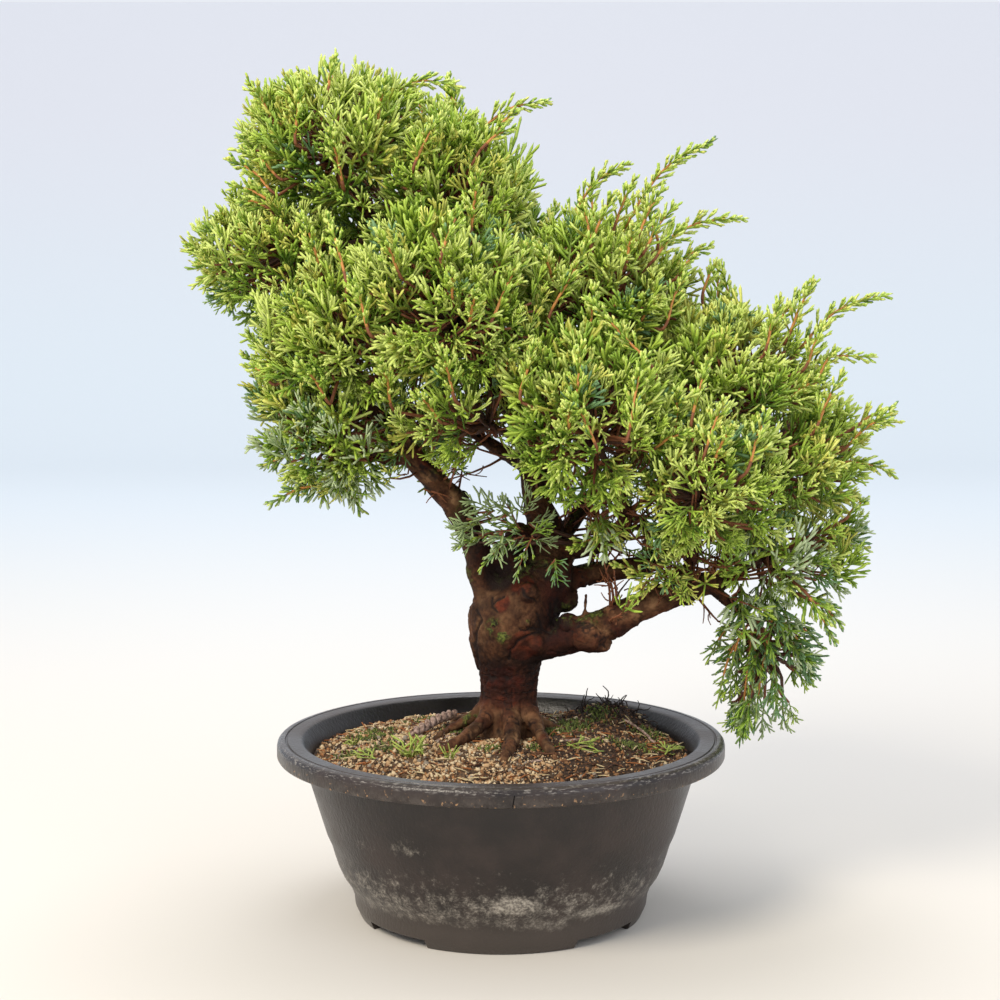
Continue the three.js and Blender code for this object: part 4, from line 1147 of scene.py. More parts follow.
BARE_STRETCHES = [                   # limb, the stretch of it that shows below the masses, twigs on it
    ("bough_right_mid", 0.15, 0.9, 46), ("bough_right_high", 0.2, 0.95, 34), ("bough_right_low", 0.42, 0.98, 34),
    ("bough_right_front", 0.1, 0.9, 20), ("bough_left", 0.5, 0.95, 26), ("bough_upper_right", 0.05, 0.9, 20),
    ("trunk", 0.56, 0.8, 34), ("bough_rear_right", 0.2, 0.9, 30), ("bough_rear_far", 0.1, 0.9, 30),
    ("bough_rear_low", 0.2, 0.9, 18), ("bough_rear_mid", 0.2, 0.9, 20), ("bough_right_outer", 0, 0.9, 12),
]
LONE_SPRAYS = [                      # seen at [x, z], at a depth, heading, size and pair of tints
    (45.1, 187.1, -34, (0, -0.3, -1), 20, 8), (47, 185, -34, (0.5, -0.3, -0.9), 17, 7),
    (89.3, 159, -28, (-1, -0.3, -0.1), 19, 7), (79, 160, -30, (-1, -0.3, -0.4), 18, 7),
    (84, 158, -28, (0.4, -0.3, -0.7), 14, 7), (117.2, 181.5, -30, (-0.2, -0.4, -0.9), 17, 8),
    (112.5, 153, -22, (-0.1, -0.2, -1), 24, 8), (126.5, 162, -24, (0.3, -0.4, -0.8), 20, 8),
    (131, 159, -20, (0.8, -0.3, -0.6), 18, 8), (26, 167, -24, (0, -0.4, -1), 12, 5),
    (-24.6, 208.6, -14, (0.4, -0.4, 0.5), 11, 5), (-47.4, 217, -16, (-0.6, -0.4, -0.6), 12, 5),
    (52, 208, -38, (0.3, -0.4, -0.9), 16, 2), (65, 187, -34, (0.2, -0.3, -0.9), 17, 2),
    (98.6, 193, -36, (0.2, -0.4, -0.8), 16, 7), (-4, 190, -22, (-1, -0.4, 0.3), 15, 6),
    (4, 187, -24, (-0.6, -0.5, 0.8), 15, 6), (10, 190, -22, (0.2, -0.5, 1), 14, 6),
    (-10, 184, -22, (-1, -0.4, -0.2), 14, 6), (2, 180, -24, (-0.4, -0.5, -0.9), 14, 6),
    (124, 150, -16, (0.1, -0.6, -0.8), 18, 5), (132, 146, -10, (0.5, -0.5, -0.8), 18, 8),
    (116, 148, -16, (-0.5, -0.5, -0.8), 17, 5), (128, 140, -18, (0, -0.7, -0.8), 18, 0),
    (-66, 211, -14, (0.3, -0.3, -1), 18, 8), (-73, 210, -18, (0.1, -0.4, -1), 19, 8),
    (-80, 209, -10, (-0.2, -0.3, -1), 18, 8), (-88, 208, -12, (-0.4, -0.3, -0.9), 17, 5),
    (-62, 213, -8, (0.6, -0.3, -0.8), 15, 0), (-76, 206, -4, (0.4, -0.2, -0.9), 16, 8),
    (-69.8, 210, -20, (-0.3, -0.4, -0.8), 16, 8), (90, 197, -70, (-0.4, -0.5, 0.6), 17, 2),
    (95, 199, -72, (0.6, -0.5, 0.4), 17, 1), (88, 192, -70, (-0.6, -0.5, -0.3), 16, 1),
    (93, 193, -68, (0.3, -0.6, -0.6), 15, 4), (-22, 277, -66, (-0.4, -0.6, 0.6), 17, 1),
    (-17, 274, -68, (0.6, -0.6, 0.3), 17, 2), (-28, 273, -66, (-0.6, -0.6, -0.2), 16, 1),
    (-21, 281, -64, (0.1, -0.5, 0.8), 17, 2), (-22, 271, -66, (0.1, -0.6, -0.7), 15, 4),
]
LEAFY = 0.6                          # share of those twigs that bear a spray
LOWEST_TWIG = 50                     # mm above the ground


def grow_on_boughs(twigs):
    """Thin twigs on the bare stretches of the boughs, some dead, some with a few leaves."""
    dice = np.random.default_rng(SEED + 300)
    starts, ends, leafy = [], [], []
    for name, low, high, count in BARE_STRETCHES:
        limb = limbs[name]
        places = dice.uniform(low, high, count)
        spot, radius = limb.at(places), limb.radius(places)[:, None]
        along = unit(limb.at(np.minimum(places + 0.02, 1)) - limb.at(places - 0.02))
        out = dice.normal(size=(count, 3)) + (0, 0, 0.5)
        out = unit(out - (out * along).sum(1)[:, None] * along)
        reach = dice.uniform(9, 24, count)[:, None]
        starts.append(spot + out * 0.6 * radius)
        ends.append(spot + (out * (1 + radius / reach) + 0.5 * along) * reach)
        leafy.append(dice.uniform(size=count) < LEAFY)
    start, end, leafy = np.vstack(starts), np.vstack(ends), np.concatenate(leafy)
    heading = unit(unit(end - start) + (0, 0, 0.35) + dice.normal(scale=0.25, size=end.shape))
    size = dice.uniform(10, 18, len(end))
    good = np.ones(len(end), bool)
    for points in (end, end + heading * size[:, None]):
        good &= (points[:, 2] > GROUND + LOWEST_TWIG) & (limb_gap(points) > LIMB_MARGIN)
        good &= in_box(points) & clear_of_openings(points)
    base, tip = start[good], end[good]
    add_twigs(twigs, "on_bough", base, tip, dice.normal(scale=1.2, size=base.shape))
    for _ in range(3):               # finer twigs fork off the side
        fork = base + (tip - base) * dice.uniform(0.35, 0.9, (len(base), 1))
        way = unit(unit(tip - base) + dice.normal(scale=0.7, size=fork.shape))
        fork_tip = fork + way * dice.uniform(4, 11, (len(base), 1))
        add_twigs(twigs, "fork", fork, fork_tip, dice.normal(scale=0.6, size=fork.shape))
    rows = np.flatnonzero(good & leafy)
    leaf, stems, tints = placed(
        THIN_SPRAYS, dice.integers(0, len(THIN_SPRAYS), len(rows)), end[rows], heading[rows],
        dice.uniform(0, 6.28, len(rows)), size[rows], dice.uniform(0, 3, len(rows)),
        dealt(dice, "lit_inside", len(rows)))
    twigs.append((stems, RED_BROWN))
    return *leaf, tints


def lone_sprays(twigs):
    """The few sprays that hang singly before the boughs, each on a twig of its own."""
    dice = np.random.default_rng(SEED + 320)
    rows = [(seen_at(x, z, y), way, size, pair) for x, z, y, way, size, pair in LONE_SPRAYS for _ in range(2)]
    count = len(rows)
    spots, ways, sizes, pairs = (np.array(column, float) for column in zip(*rows))
    feet = spots + dice.normal(scale=1, size=spots.shape)
    ways = unit(unit(ways) + dice.normal(scale=0.16, size=spots.shape))
    sizes *= dice.uniform(0.85, 1.1, count)
    leaf, stems, tints = placed(
        THIN_SPRAYS, dice.integers(0, len(THIN_SPRAYS), count), feet, ways, dice.uniform(0, 6.28, count),
        sizes, np.zeros(count), pairs.astype(int))
    twigs.append((stems, GREEN))
    nearest = [np.argmin(np.linalg.norm(LINES[:, :3] - foot, axis=1) - LINES[:, 6]) for foot in feet]
    add_twigs(twigs, "single", LINES[nearest][:, :3], feet, dice.normal(scale=1, size=feet.shape))
    return *leaf, tints


def leaf_piece(name, made, slot="foliage", nodes=()):
    points, faces, tints = made
    piece("leaves_" + name, points, faces, LEAVES.values(), tints, slot, nodes)


tree_twigs = []                      # each with its kind of bark
for index, space in enumerate(spaces):
    slot = "juvenile" if space.name == "fork_sprig" else "foliage"
    leaf_piece(space.name, grow_mass(space, index, tree_twigs), slot, ["foliage_" + space.name])
leaf_piece("on_boughs", grow_on_boughs(tree_twigs))
leaf_piece("single", lone_sprays(tree_twigs))
twig_kinds = np.concatenate([np.full(len(part[1]), kind) for part, kind in tree_twigs])
piece("twigs", *join([part for part, _ in tree_twigs]), TWIG_FINISHES, twig_kinds, "bark")

# ---------------------------------------------------------------- pot

POT_SIDES = 128
WALL_THICK, FLOOR_TOP, FLOOR_UNDER = 2.4, 6, 3
POT_BODY = [                         # outside of the wall as [radius, height]
    [69, 5.3], [69.5, 10], [71.3, 15], [74.8, 20], [77.1, 25], [78.7, 29.9], [80.1, 34.8], [82.3, 39.7],
    [83.8, 44.6], [86.4, 53], [89.6, 63.6], [91, 74.6],
]
FOOT = [[62, 0.5], [62.5, 0], [66.1, 0], [66.8, 0.5]]
RIM = [                              # rolled lip, with the groove near the edge of its top
    [92, 75.2], [103.3, 75.2], [104.5, 75.7], [105, 76.6], [105, 80.8], [104.7, 82.2], [103.9, 83.2],
    [102.6, 83.7], [101.3, 83.7], [101, 83.1], [100.3, 83.1], [100, 83.7], [95.4, 83.7], [93.8, 83.4],
    [92.8, 82.6], [92, 81], [90.6, 79.2],
]
ARCH = {"width": 36, "depth": 24, "height": 4.2, "ring": 65, "count": 4}
DRAIN = {"radius": 5.5, "ring": 38, "count": 4, "sides": 24}
FLOOR_RADIUS, FOOT_BORE = 66, 62
CRACK = {"place": [5, -104, 77.6], "size": [0.5, 5, 7], "lean": 0.16}
LIME_PATCHES = [                     # centre, half size in mm, strength
    ([6, -77, 25], [22, 25, 9], 1), ([-14, -78, 26], [30, 25, 12], 0.55), ([44, -58, 17.5], [34, 26, 5.5], 1),
    ([24, -72, 14], [20, 20, 6], 0.9), ([-52, -55, 24], [26, 22, 10], 0.7), ([-41, -74, 50], [14, 16, 7], 0.6),
    ([-58, -60, 47], [10, 14, 6], 0.5), ([-52, 45, 22], [30, 30, 12], 0.8), ([60, 40, 30], [28, 25, 14], 0.7),
]


def mould_finish():
    """Moulded polypropylene: black-brown and half gloss, with a leathery grain, speckled lime, dust and scuffs;
    painted glints along the rim's edge, painted sheen on its top, painted warm light at the foot and painted shade on
    the inner wall.
    """
    plastic, tree, shader, place = new_finish("moulded_polypropylene", "#252322", 0.4, IOR=1.49)
    slant = add_node(tree, "Mapping", {"Vector": place, "Rotation": (0, 0.6, 0), "Scale": (1, 1, 0.55)})
    level = add_node(tree, "Mapping", {"Vector": place, "Scale": (0.4, 0.4, 1.8)})
    leather, cloud, lime, spots, scuff, streak = (
        add_node(tree, "TexNoise", {"Vector": vector, "Scale": per(size), "Detail": detail, "Roughness": rough})
        for vector, size, detail, rough in (
            (slant, 1.6, 3, 0.5), (place, 30, 5, 0.6), (place, 5, 10, 0.82), (place, 1.7, 3, 0.5),
            (place, 1.1, 3, 0.5), (level, 1.1, 4, 0.5)))
    height = add_node(tree, "SeparateXYZ", {"Vector": place}, "Z")
    away = add_node(tree, "VectorMath", {0: place, 1: AXIS * MM}, operation="SUBTRACT")
    away = add_node(tree, "VectorMath", {0: away, 1: (1, 1, 0)}, operation="MULTIPLY")
    reach = add_node(tree, "VectorMath", {0: away}, "Value", operation="LENGTH")
    (cloudy, haze, ledge, speckle, foot, top, above, edge, worn, lip, inner, dusty, spotted, scuffs_and_glints, dull) = (
        add_node(tree, "MapRange", {"Value": value, "From Min": low, "From Max": high,
                                    "To Min": least, "To Max": most}, **SOFT)
        for value, low, high, least, most in (
            (cloud, 0.35, 0.7, 0, 1), (height, 0.055, 0.02, 0, 0.64), (height, 0.008, 0.015, 0, 1),
            (scuff, 0.32, 0.66, 0.35, 1.1), (height, 0.024, 0.008, 0, 0.6), (height, 0.0828, 0.0834, 0, 0.3),
            (height, 0.074, 0.0752, 0, 1), (height, 0.082, 0.0755, 0, 1), (height, 0.0798, 0.0822, 0, 1),
            (reach, 0.0995, 0.1025, 0, 1), (reach, 0.0945, 0.0925, 0, 0.8), (lime, 0.42, 0.64, 0, 0.6),
            (spots, 0.63, 0.69, 0, 1), (streak, 0.52, 0.7, 0, 0.5), (cloud, 0.3, 0.7, 0.3, 0.46)))

    mask = add_node(tree, "Math", {0: haze, 1: ledge}, **TIMES)
    for centre, half, strength in LIME_PATCHES:
        away = add_node(tree, "VectorMath", {0: place, 1: metres(centre)}, operation="SUBTRACT")
        away = add_node(tree, "VectorMath", {0: away, 1: [per(side) for side in half]}, operation="MULTIPLY")
        away = add_node(tree, "VectorMath", {0: away}, "Value", operation="LENGTH")
        spread = add_node(tree, "MapRange", {"Value": away, "From Min": 1.25, "From Max": 0.1, "To Max": strength},
                          **SOFT)
        mask = add_node(tree, "Math", {0: mask, 1: spread}, operation="MAXIMUM")
    marks = add_node(tree, "Math", {0: mask, 1: 0.36, 2: lime}, operation="MULTIPLY_ADD")
    marks = add_node(tree, "MapRange", {"Value": marks, "From Min": 0.65, "From Max": 0.94}, **SOFT)
    band = add_node(tree, "Math", {0: edge, 1: above}, **TIMES)
    marks, band, worn, inner = (add_node(tree, "Math", {0: share, 1: where}, **TIMES) for share, where in (
        (marks, speckle), (band, lip), (worn, lip), (inner, above)))
    dusty, spotted, scuffs_and_glints = (add_node(tree, "Math", {0: share, 1: where}, **TIMES) for share, where in (
        (dusty, band), (spotted, band), (scuffs_and_glints, worn)))

    colour = add_node(tree, "Mix", {0: cloudy, 6: shade("#1C1513"), 7: shade("#322723")}, 2, **COLOURS)
    # The lighter, warmer foot is painted light bounced from the floor; the pale streaks on the rim's edge are scuffs
    # with painted glints; the near-black inner wall is painted shade; the lighter grey on the rim's top face is
    # painted sheen.
    for share, code in ((marks, "#ADA598"), (foot, "#4E4640"), (dusty, "#5A524C"), (spotted, "#A07C58"),
                        (scuffs_and_glints, "#A9A39B"), (inner, "#0C0A09"), (top, "#6C6662")):
        colour = add_node(tree, "Mix", {0: share, 6: colour, 7: shade(code)}, 2, **COLOURS)
    tree.links.new(colour, shader.inputs["Base Color"])

    polish = add_node(tree, "MapRange", {"Value": worn, "To Min": 1, "To Max": 0.8})
    dull = add_node(tree, "Math", {0: dull, 1: polish}, **TIMES)
    tree.links.new(dull, shader.inputs["Roughness"])
    relief = add_node(tree, "Bump", {"Height": leather, "Distance": 0.35 * MM, "Strength": 0.7})
    relief = add_node(tree, "Bump", {"Height": scuff, "Distance": 0.12 * MM, "Normal": relief})
    tree.links.new(relief, shader.inputs["Normal"])
    return plastic


def turned_form(name, profile, sides):
    """A closed form of revolution: a circle at the first [radius, height], extruded along the rest."""
    centre = AXIS * MM
    radius, height = profile[0]
    bpy.ops.object.select_all(action="DESELECT")
    bpy.ops.mesh.primitive_circle_add(
        vertices=sides, radius=radius * MM, location=(centre[0], centre[1], height * MM), fill_type="NGON")
    form = bpy.context.active_object
    form.name = name
    bpy.ops.object.transform_apply(location=True)
    bpy.ops.object.mode_set(mode="EDIT")
    bpy.ops.mesh.select_mode(type="EDGE")
    for new_radius, new_height in profile[1:]:
        bpy.ops.mesh.extrude_edges_move(
            TRANSFORM_OT_translate={"value": (0, 0, (new_height - height) * MM)})
        share = new_radius / radius
        bpy.ops.transform.resize(value=(share, share, 1), center_override=(*centre[:2], new_height * MM))
        radius, height = new_radius, new_height
    bpy.ops.mesh.edge_face_add()
    bpy.ops.mesh.select_all(action="SELECT")
    bpy.ops.mesh.normals_make_consistent(inside=False)
    bpy.ops.object.mode_set(mode="OBJECT")
    return form


def cut_away(form, cutters):
    """Cuts primitives out of a form."""
    for cutter in cutters:
        modifier = form.modifiers.new("cut", "BOOLEAN")
        modifier.operation, modifier.solver, modifier.object = "DIFFERENCE", "EXACT", cutter
        bpy.ops.object.select_all(action="DESELECT")
        bpy.context.view_layer.objects.active = form
        bpy.ops.object.modifier_apply(modifier=modifier.name)
        bpy.data.objects.remove(cutter)


def make_pot():
    inside = [[radius - WALL_THICK, height] for radius, height in reversed(POT_BODY) if height > FLOOR_TOP]
    profile = [[FOOT_BORE, FLOOR_UNDER], *FOOT, *POT_BODY, *RIM, *inside, [FLOOR_RADIUS, FLOOR_TOP]]
    pot = turned_form("pot_shell", profile, POT_SIDES)
    cutters = []
    for k in range(ARCH["count"]):
        turn = (k + 0.5) * 2 * math.pi / ARCH["count"]
        spot = metres([ARCH["ring"] * math.cos(turn), ARCH["ring"] * math.sin(turn), 0])
        bpy.ops.mesh.primitive_cube_add(size=1, location=spot, rotation=(0, 0, turn))
        bpy.context.active_object.scale = (ARCH["depth"] * MM, ARCH["width"] * MM, 2 * ARCH["height"] * MM)
        cutters.append(bpy.context.active_object)
    for k in range(DRAIN["count"] + 1):
        turn = k * 2 * math.pi / DRAIN["count"]
        reach = DRAIN["ring"] if k else 0
        spot = metres([reach * math.cos(turn), reach * math.sin(turn), 3])
        bpy.ops.mesh.primitive_cylinder_add(
            vertices=DRAIN["sides"], radius=DRAIN["radius"] * MM, depth=24 * MM, location=spot)
        cutters.append(bpy.context.active_object)
    bpy.ops.mesh.primitive_cube_add(size=1, location=metres(CRACK["place"]), rotation=(0, CRACK["lean"], 0))
    bpy.context.active_object.scale = [side * MM for side in CRACK["size"]]
    cutters.append(bpy.context.active_object)
    cut_away(pot, cutters)
    pot.data.materials.clear()
    pot.data.materials.append(mould_finish())
    pot.select_set(True)
    bpy.ops.object.shade_smooth_by_angle(angle=math.radians(38))
    return settle(pot, "pot", ["pot"])


make_pot()

# ---------------------------------------------------------------- soil

SOIL_SIDES, SOIL_RINGS = 220, 52
SOIL_EDGE, SOIL_LOW = 88.3, 74.6     # radius of the soil where it meets the wall, and its height there
SOIL_GAP = 0.3                       # between the soil and the pot
DOME = [[0, 83.9], [20, 83.9], [36, 83.2], [50, 81.6], [70, 78.2], [SOIL_EDGE, SOIL_LOW]]
CLODS = (0.8, 13, 41), (0.6, 5.5, 42), (0.35, 2.4, 43)   # how high, how wide, seed
MOUND = {"centre": [56, 48], "rise": 9.5, "radius": 23}


def soil_height(x, y):
    """Height of the soil at a place."""
    reach = np.hypot(x, y)
    dome = np.interp(reach, [row[0] for row in DOME], [row[1] for row in DOME])
    gap = np.hypot(x - MOUND["centre"][0], y - MOUND["centre"][1]) / MOUND["radius"]
    flat = np.stack([x, y, 0 * x], 1)
    clods = sum(rise * lattice_noise(flat, size, seed) for rise, size, seed in CLODS)
    fade = smooth_step(reach, SOIL_EDGE, SOIL_EDGE - 6)
    return dome + (MOUND["rise"] * np.exp(-gap ** 2.4) + clods - 0.3) * fade


def earth_finish():
    """Damp peat and fine grit: matt, near black where wet and brown where crumbs have dried; darker on the right,
    with more peat and painted shade of the trunk.
    """
    earth, tree, shader, place = new_finish("damp_peat_and_grit", "#4A3424", 0.95)
    crumb = add_node(tree, "TexNoise", {"Vector": place, "Scale": per(1.6), "Detail": 6, "Roughness": 0.7})
    damp = add_node(tree, "TexNoise", {"Vector": place, "Scale": per(22), "Detail": 4})
    share = add_node(tree, "MapRange", {"Value": crumb, "From Min": 0.3, "From Max": 0.72}, **SOFT)
    dry = add_node(tree, "Mix", {0: share, 6: shade("#2E2018"), 7: shade("#8A6B4C")}, 2, **COLOURS)
    wet = add_node(tree, "Mix", {0: share, 6: shade("#20160F"), 7: shade("#5A412C")}, 2, **COLOURS)
    share = add_node(tree, "MapRange", {"Value": damp, "From Min": 0.35, "From Max": 0.6}, **SOFT)
    # Only the left dries: the right stays darker, with more peat and painted shade of the trunk.
    across = add_node(tree, "SeparateXYZ", {"Vector": place}, "X")
    left = add_node(tree, "MapRange", {"Value": across, "From Min": 0.015, "From Max": -0.03}, **SOFT)
    share = add_node(tree, "Math", {0: share, 1: left}, **TIMES)
    colour = add_node(tree, "Mix", {0: share, 6: wet, 7: dry}, 2, **COLOURS)
    tree.links.new(colour, shader.inputs["Base Color"])
    relief = add_node(tree, "Bump", {"Height": crumb, "Distance": 1.2 * MM})
    tree.links.new(relief, shader.inputs["Normal"])
    return earth


def make_soil():
    inside = [[radius - WALL_THICK - SOIL_GAP, height] for radius, height in POT_BODY if 7 < height < SOIL_LOW]
    rings = [[SOIL_EDGE * (1 - k / SOIL_RINGS), SOIL_LOW] for k in range(SOIL_RINGS)]
    soil = turned_form("soil_body", [[FLOOR_RADIUS, FLOOR_TOP + SOIL_GAP], *inside, *rings], SOIL_SIDES)
    points = corners(soil.data)
    top = points[:, 2] > SOIL_LOW - 0.1
    points[top, 2] = soil_height(points[top, 0], points[top, 1])
    move_corners(soil.data, points)
    soil.data.materials.clear()
    soil.data.materials.append(earth_finish())
    soil.data.shade_smooth()
    return settle(soil, "soil", ["soil"])


def on_soil(flat, rise=0.0):
    """Points on the soil at [x, y] places, raised a little."""
    return np.column_stack([flat, soil_height(*flat.T) + rise])


def scattered(dice, count, inner=14, outer=87, keep=None):
    """Random places on the soil, as points in the plant's millimetres."""
    reach = np.sqrt(dice.uniform(inner ** 2, outer ** 2, count))
    turn = dice.uniform(0, 2 * math.pi, count)
    flat = np.stack([reach * np.cos(turn), reach * np.sin(turn)], 1)
    return on_soil(flat if keep is None else flat[keep(*flat.T)])


def peaty(x, y):
    """How much peat covers the grit: little on the left, much on the right and on the mound; the darker right side is
    partly painted shade of the trunk.
    """
    gap = np.hypot(x - MOUND["centre"][0], y - MOUND["centre"][1])
    patchy = 12 * lattice_noise(np.stack([x, y, 0 * x], 1), 16, 51)
    return np.maximum(smooth_step(gap, 38, 18), 0.8 * smooth_step(x + 0.3 * y + patchy, -8, 26))


STONE = np.array(list(itertools.product((-0.5, 0.5), repeat=3)))
STONE_FACES = np.array([
    [0, 1, 3], [0, 3, 2], [4, 6, 7], [4, 7, 5], [0, 4, 5], [0, 5, 1],
    [2, 3, 7], [2, 7, 6], [0, 2, 6], [0, 6, 4], [1, 5, 7], [1, 7, 3],
])
CRUMB = np.array([[1, 0, 0], [-1, 0, 0], [0, 1, 0], [0, -1, 0], [0, 0, 1], [0, 0, -1]], float)
CRUMB_FACES = np.array([[0, 2, 4], [2, 1, 4], [1, 3, 4], [3, 0, 4], [2, 0, 5], [1, 2, 5], [3, 1, 5], [0, 3, 5]])


def turned_about(dice, count):
    """Random rotations, from random quaternions."""
    w, x, y, z = unit(dice.normal(size=(count, 4))).T
    return np.stack([
        1 - 2 * (y * y + z * z), 2 * (x * y - z * w), 2 * (x * z + y * w),
        2 * (x * y + z * w), 1 - 2 * (x * x + z * z), 2 * (y * z - x * w),
        2 * (x * z - y * w), 2 * (y * z + x * w), 1 - 2 * (x * x + y * y),
    ], 1).reshape(-1, 3, 3)


def loose_bits(dice, shape, shape_faces, spots, sizes, jitter):
    """Uneven copies of a small shape at spots; sizes are (n, 3)."""
    count = len(spots)
    body = shape[None] * (1 + jitter * dice.uniform(-1, 1, (count, len(shape), 1)))
    body = np.einsum("npk,nkj->npj", body * sizes[:, None], turned_about(dice, count)) + spots[:, None]
    return body.reshape(-1, 3), repeated(shape_faces, len(shape), count)


GRIT = [new_finish(name, code, 0.9)[0] for name, code in (
    ("pumice_tan", "#BC9A72"), ("pumice_pale", "#D2BC98"), ("baked_clay_brown", "#86613F"),
    ("peat_dark", "#3C2B1F"), ("baked_clay_orange", "#97683F"), ("grit_grey", "#8E8374"))]
LITTER = [new_finish(name, code, 0.8)[0] for name, code in (
    ("dry_needle_orange", "#9A5C2C"), ("dry_needle_brown", "#5E3A22"), ("moss_olive", "#4C5526"),
    ("moss_bright", "#6E7A34"), ("weed_green", "#A4B455"), ("rootlet_black", "#2A1C14"),
    ("straw_pale", "#C9B48A"))]
NEEDLE, BROWN, MOSS, MOSS_LIGHT, WEED, ROOTLET, STRAW = range(7)
MOSS_BEDS = [                        # [x, y, radius, tufts]
    [-62, 18, 13, 150], [-52, -14, 10, 90], [-18, 2, 9, 130], [-12, 22, 9, 110], [24, 6, 10, 150],
    [34, 20, 11, 120], [62, -8, 11, 120], [48, 34, 10, 90], [70, 22, 9, 80], [-34, 44, 14, 120],
    [18, -24, 7, 50], [-70, -18, 7, 50], [10, 34, 14, 160], [-4, -30, 6, 30], [84, 4, 5, 30],
]
ROPE_ROOT = {"from": [-41, -4, 84.8], "to": [-23, 26, 88], "radius": 1.4, "pitch": 9.6, "offset": 1.2}
THIN_ROOTS = [
    [[-20, -3, 84.4, 1.5], [-30, -12, 82.5, 1.2], [-40, -18, 80.5, 0.9], [-47, -27, 78.4, 0.6]],
    [[-30, 2, 83, 1.1], [-39, -3, 81.6, 0.9], [-46, -11, 80, 0.6]],
    [[28, -14, 83.6, 1], [38, -12, 83.3, 0.8], [47, -16, 81.6, 0.5]],
    [[60, 28, 84.8, 0.6], [67, 20, 81.4, 0.7], [73, 4, 79, 0.5]],
    [[-6, -40, 81.6, 0.8], [6, -46, 81, 0.7], [18, -44, 81.2, 0.5]],
]
WEEDS = [[-40, -35, 1.0], [-22.9, -42, 0.6], [-70, 4, 0.5]]                  # [x, y, size]
FALLEN = [[31, -22, 35], [47, -25, 160], [76, -18, 80], [-57, -34, 120]]     # sprays as [x, y, degrees]
CHIPS, CRUMBS, NEEDLES, ROOTLETS = 4300, 9000, 620, 170                      # how many lie on the soil
CHIP_ODDS = [0.06, 0.01, 0.34, 0.5, 0.06, 0.03], [0.32, 0.24, 0.18, 0.1, 0.06, 0.1]    # on peat, and on grit
CRUMB_ODDS = [0.03, 0, 0.3, 0.6, 0.07, 0], [0.3, 0.24, 0.16, 0.12, 0.1, 0.08]


def grit_bits(dice, shape, faces, spots, sizes, jitter, odds):
    """Uneven bits on the soil and their tints, which are darker where peat lies."""
    part = loose_bits(dice, shape, faces, spots, sizes, jitter)
    on_peat = dice.uniform(size=len(spots)) < peaty(*spots[:, :2].T)
    tints = np.where(on_peat, *(dice.choice(len(GRIT), len(spots), p=row) for row in odds))
    return part, np.repeat(tints, len(faces))


def lay_grit(dice):
    """Chips, where no peat covers them, and crumbs."""
    spots = scattered(dice, CHIPS, keep=lambda x, y: dice.uniform(size=len(x)) > 0.88 * peaty(x, y))
    sizes = dice.uniform(0.45, 1.15, (len(spots), 1)) * dice.uniform((1.1, 1, 0.8), (2.5, 1.8, 1.3), (len(spots), 3))
    chips = grit_bits(dice, STONE, STONE_FACES, spots + (0, 0, 0.25), sizes, 0.3, CHIP_ODDS)
    spots = scattered(dice, CRUMBS)
    sizes = dice.uniform(0.3, 0.85, (len(spots), 3))
    crumbs = grit_bits(dice, CRUMB, CRUMB_FACES, spots + (0, 0, 0.2), sizes, 0.25, CRUMB_ODDS)
    parts, tints = zip(chips, crumbs)
    piece("grit", *join(parts), GRIT, np.concatenate(tints), "soil", smooth=False)


def dry_needles(dice):
    spots = scattered(dice, NEEDLES)
    way = unit(dice.normal(size=spots.shape) * (1, 1, 0.12))
    reach = dice.uniform(1.6, 5, (len(spots), 1))
    spots = spots + (0, 0, 0.9)
    sticks = cords(spots - way * reach, spots + (0, 0, 0.25), spots + way * reach,
                   dice.uniform(0.22, 0.42, len(spots)))
    yield sticks, dice.choice([NEEDLE, BROWN, STRAW], len(spots), p=[0.28, 0.44, 0.28])


def moss_beds(dice):
    for x, y, radius, tufts in MOSS_BEDS:
        flat = np.array([x, y]) + dice.normal(scale=radius * 0.45, size=(2 * tufts, 2))
        foot = on_soil(flat[np.hypot(flat[:, 0], flat[:, 1]) < 87], -0.3)
        way = unit(dice.normal(size=foot.shape) * 0.55 + (0, 0, 1))
        tall = dice.uniform(1.2, 2.8, (len(foot), 1))
        tip = foot + way * tall + dice.normal(scale=0.4, size=foot.shape)
        tufts = cords(foot, foot + way * tall * 0.55, tip, dice.uniform(0.3, 0.55, len(foot)), False)
        yield tufts, dice.choice([MOSS, MOSS_LIGHT], len(foot), p=[0.6, 0.4])


def weeds(dice):
    for x, y, size in WEEDS:
        count = int(16 * size) + 5
        foot = on_soil(np.array([x, y]) + dice.normal(scale=1.6 * size, size=(count, 3))[:, :2], -0.2)
        way = unit(dice.normal(size=(count, 3)) * (0.8, 0.8, 0.2) + (0, 0, 1.1))
        tall = dice.uniform(6, 14, (count, 1)) * size
        knee = foot + way * tall * 0.6
        tip = knee + unit(way + dice.normal(size=(count, 3)) * 0.5 - (0, 0, 0.5)) * tall * 0.5
        yield cords(foot, knee, tip, np.full(count, 0.55 * size)), WEED


def black_rootlets(dice):
    for _ in range(ROOTLETS):
        spot = np.array(MOUND["centre"]) + dice.normal(scale=13, size=2)
        if np.hypot(*spot) > 86:
            continue
        way = unit(dice.normal(size=3) * (1, 1, 0.3) + (0, 0, 1.1))
        path = [on_soil(spot[None], -0.4)[0]]
        stride = dice.uniform(0.7, 2.2)
        for _ in range(6):
            way = unit(way + dice.normal(scale=0.4, size=3) - (0, 0, 0.1))
            path.append(path[-1] + way * stride)
        yield tube(path, np.linspace(0.5, 0.2, 7), 4), ROOTLET


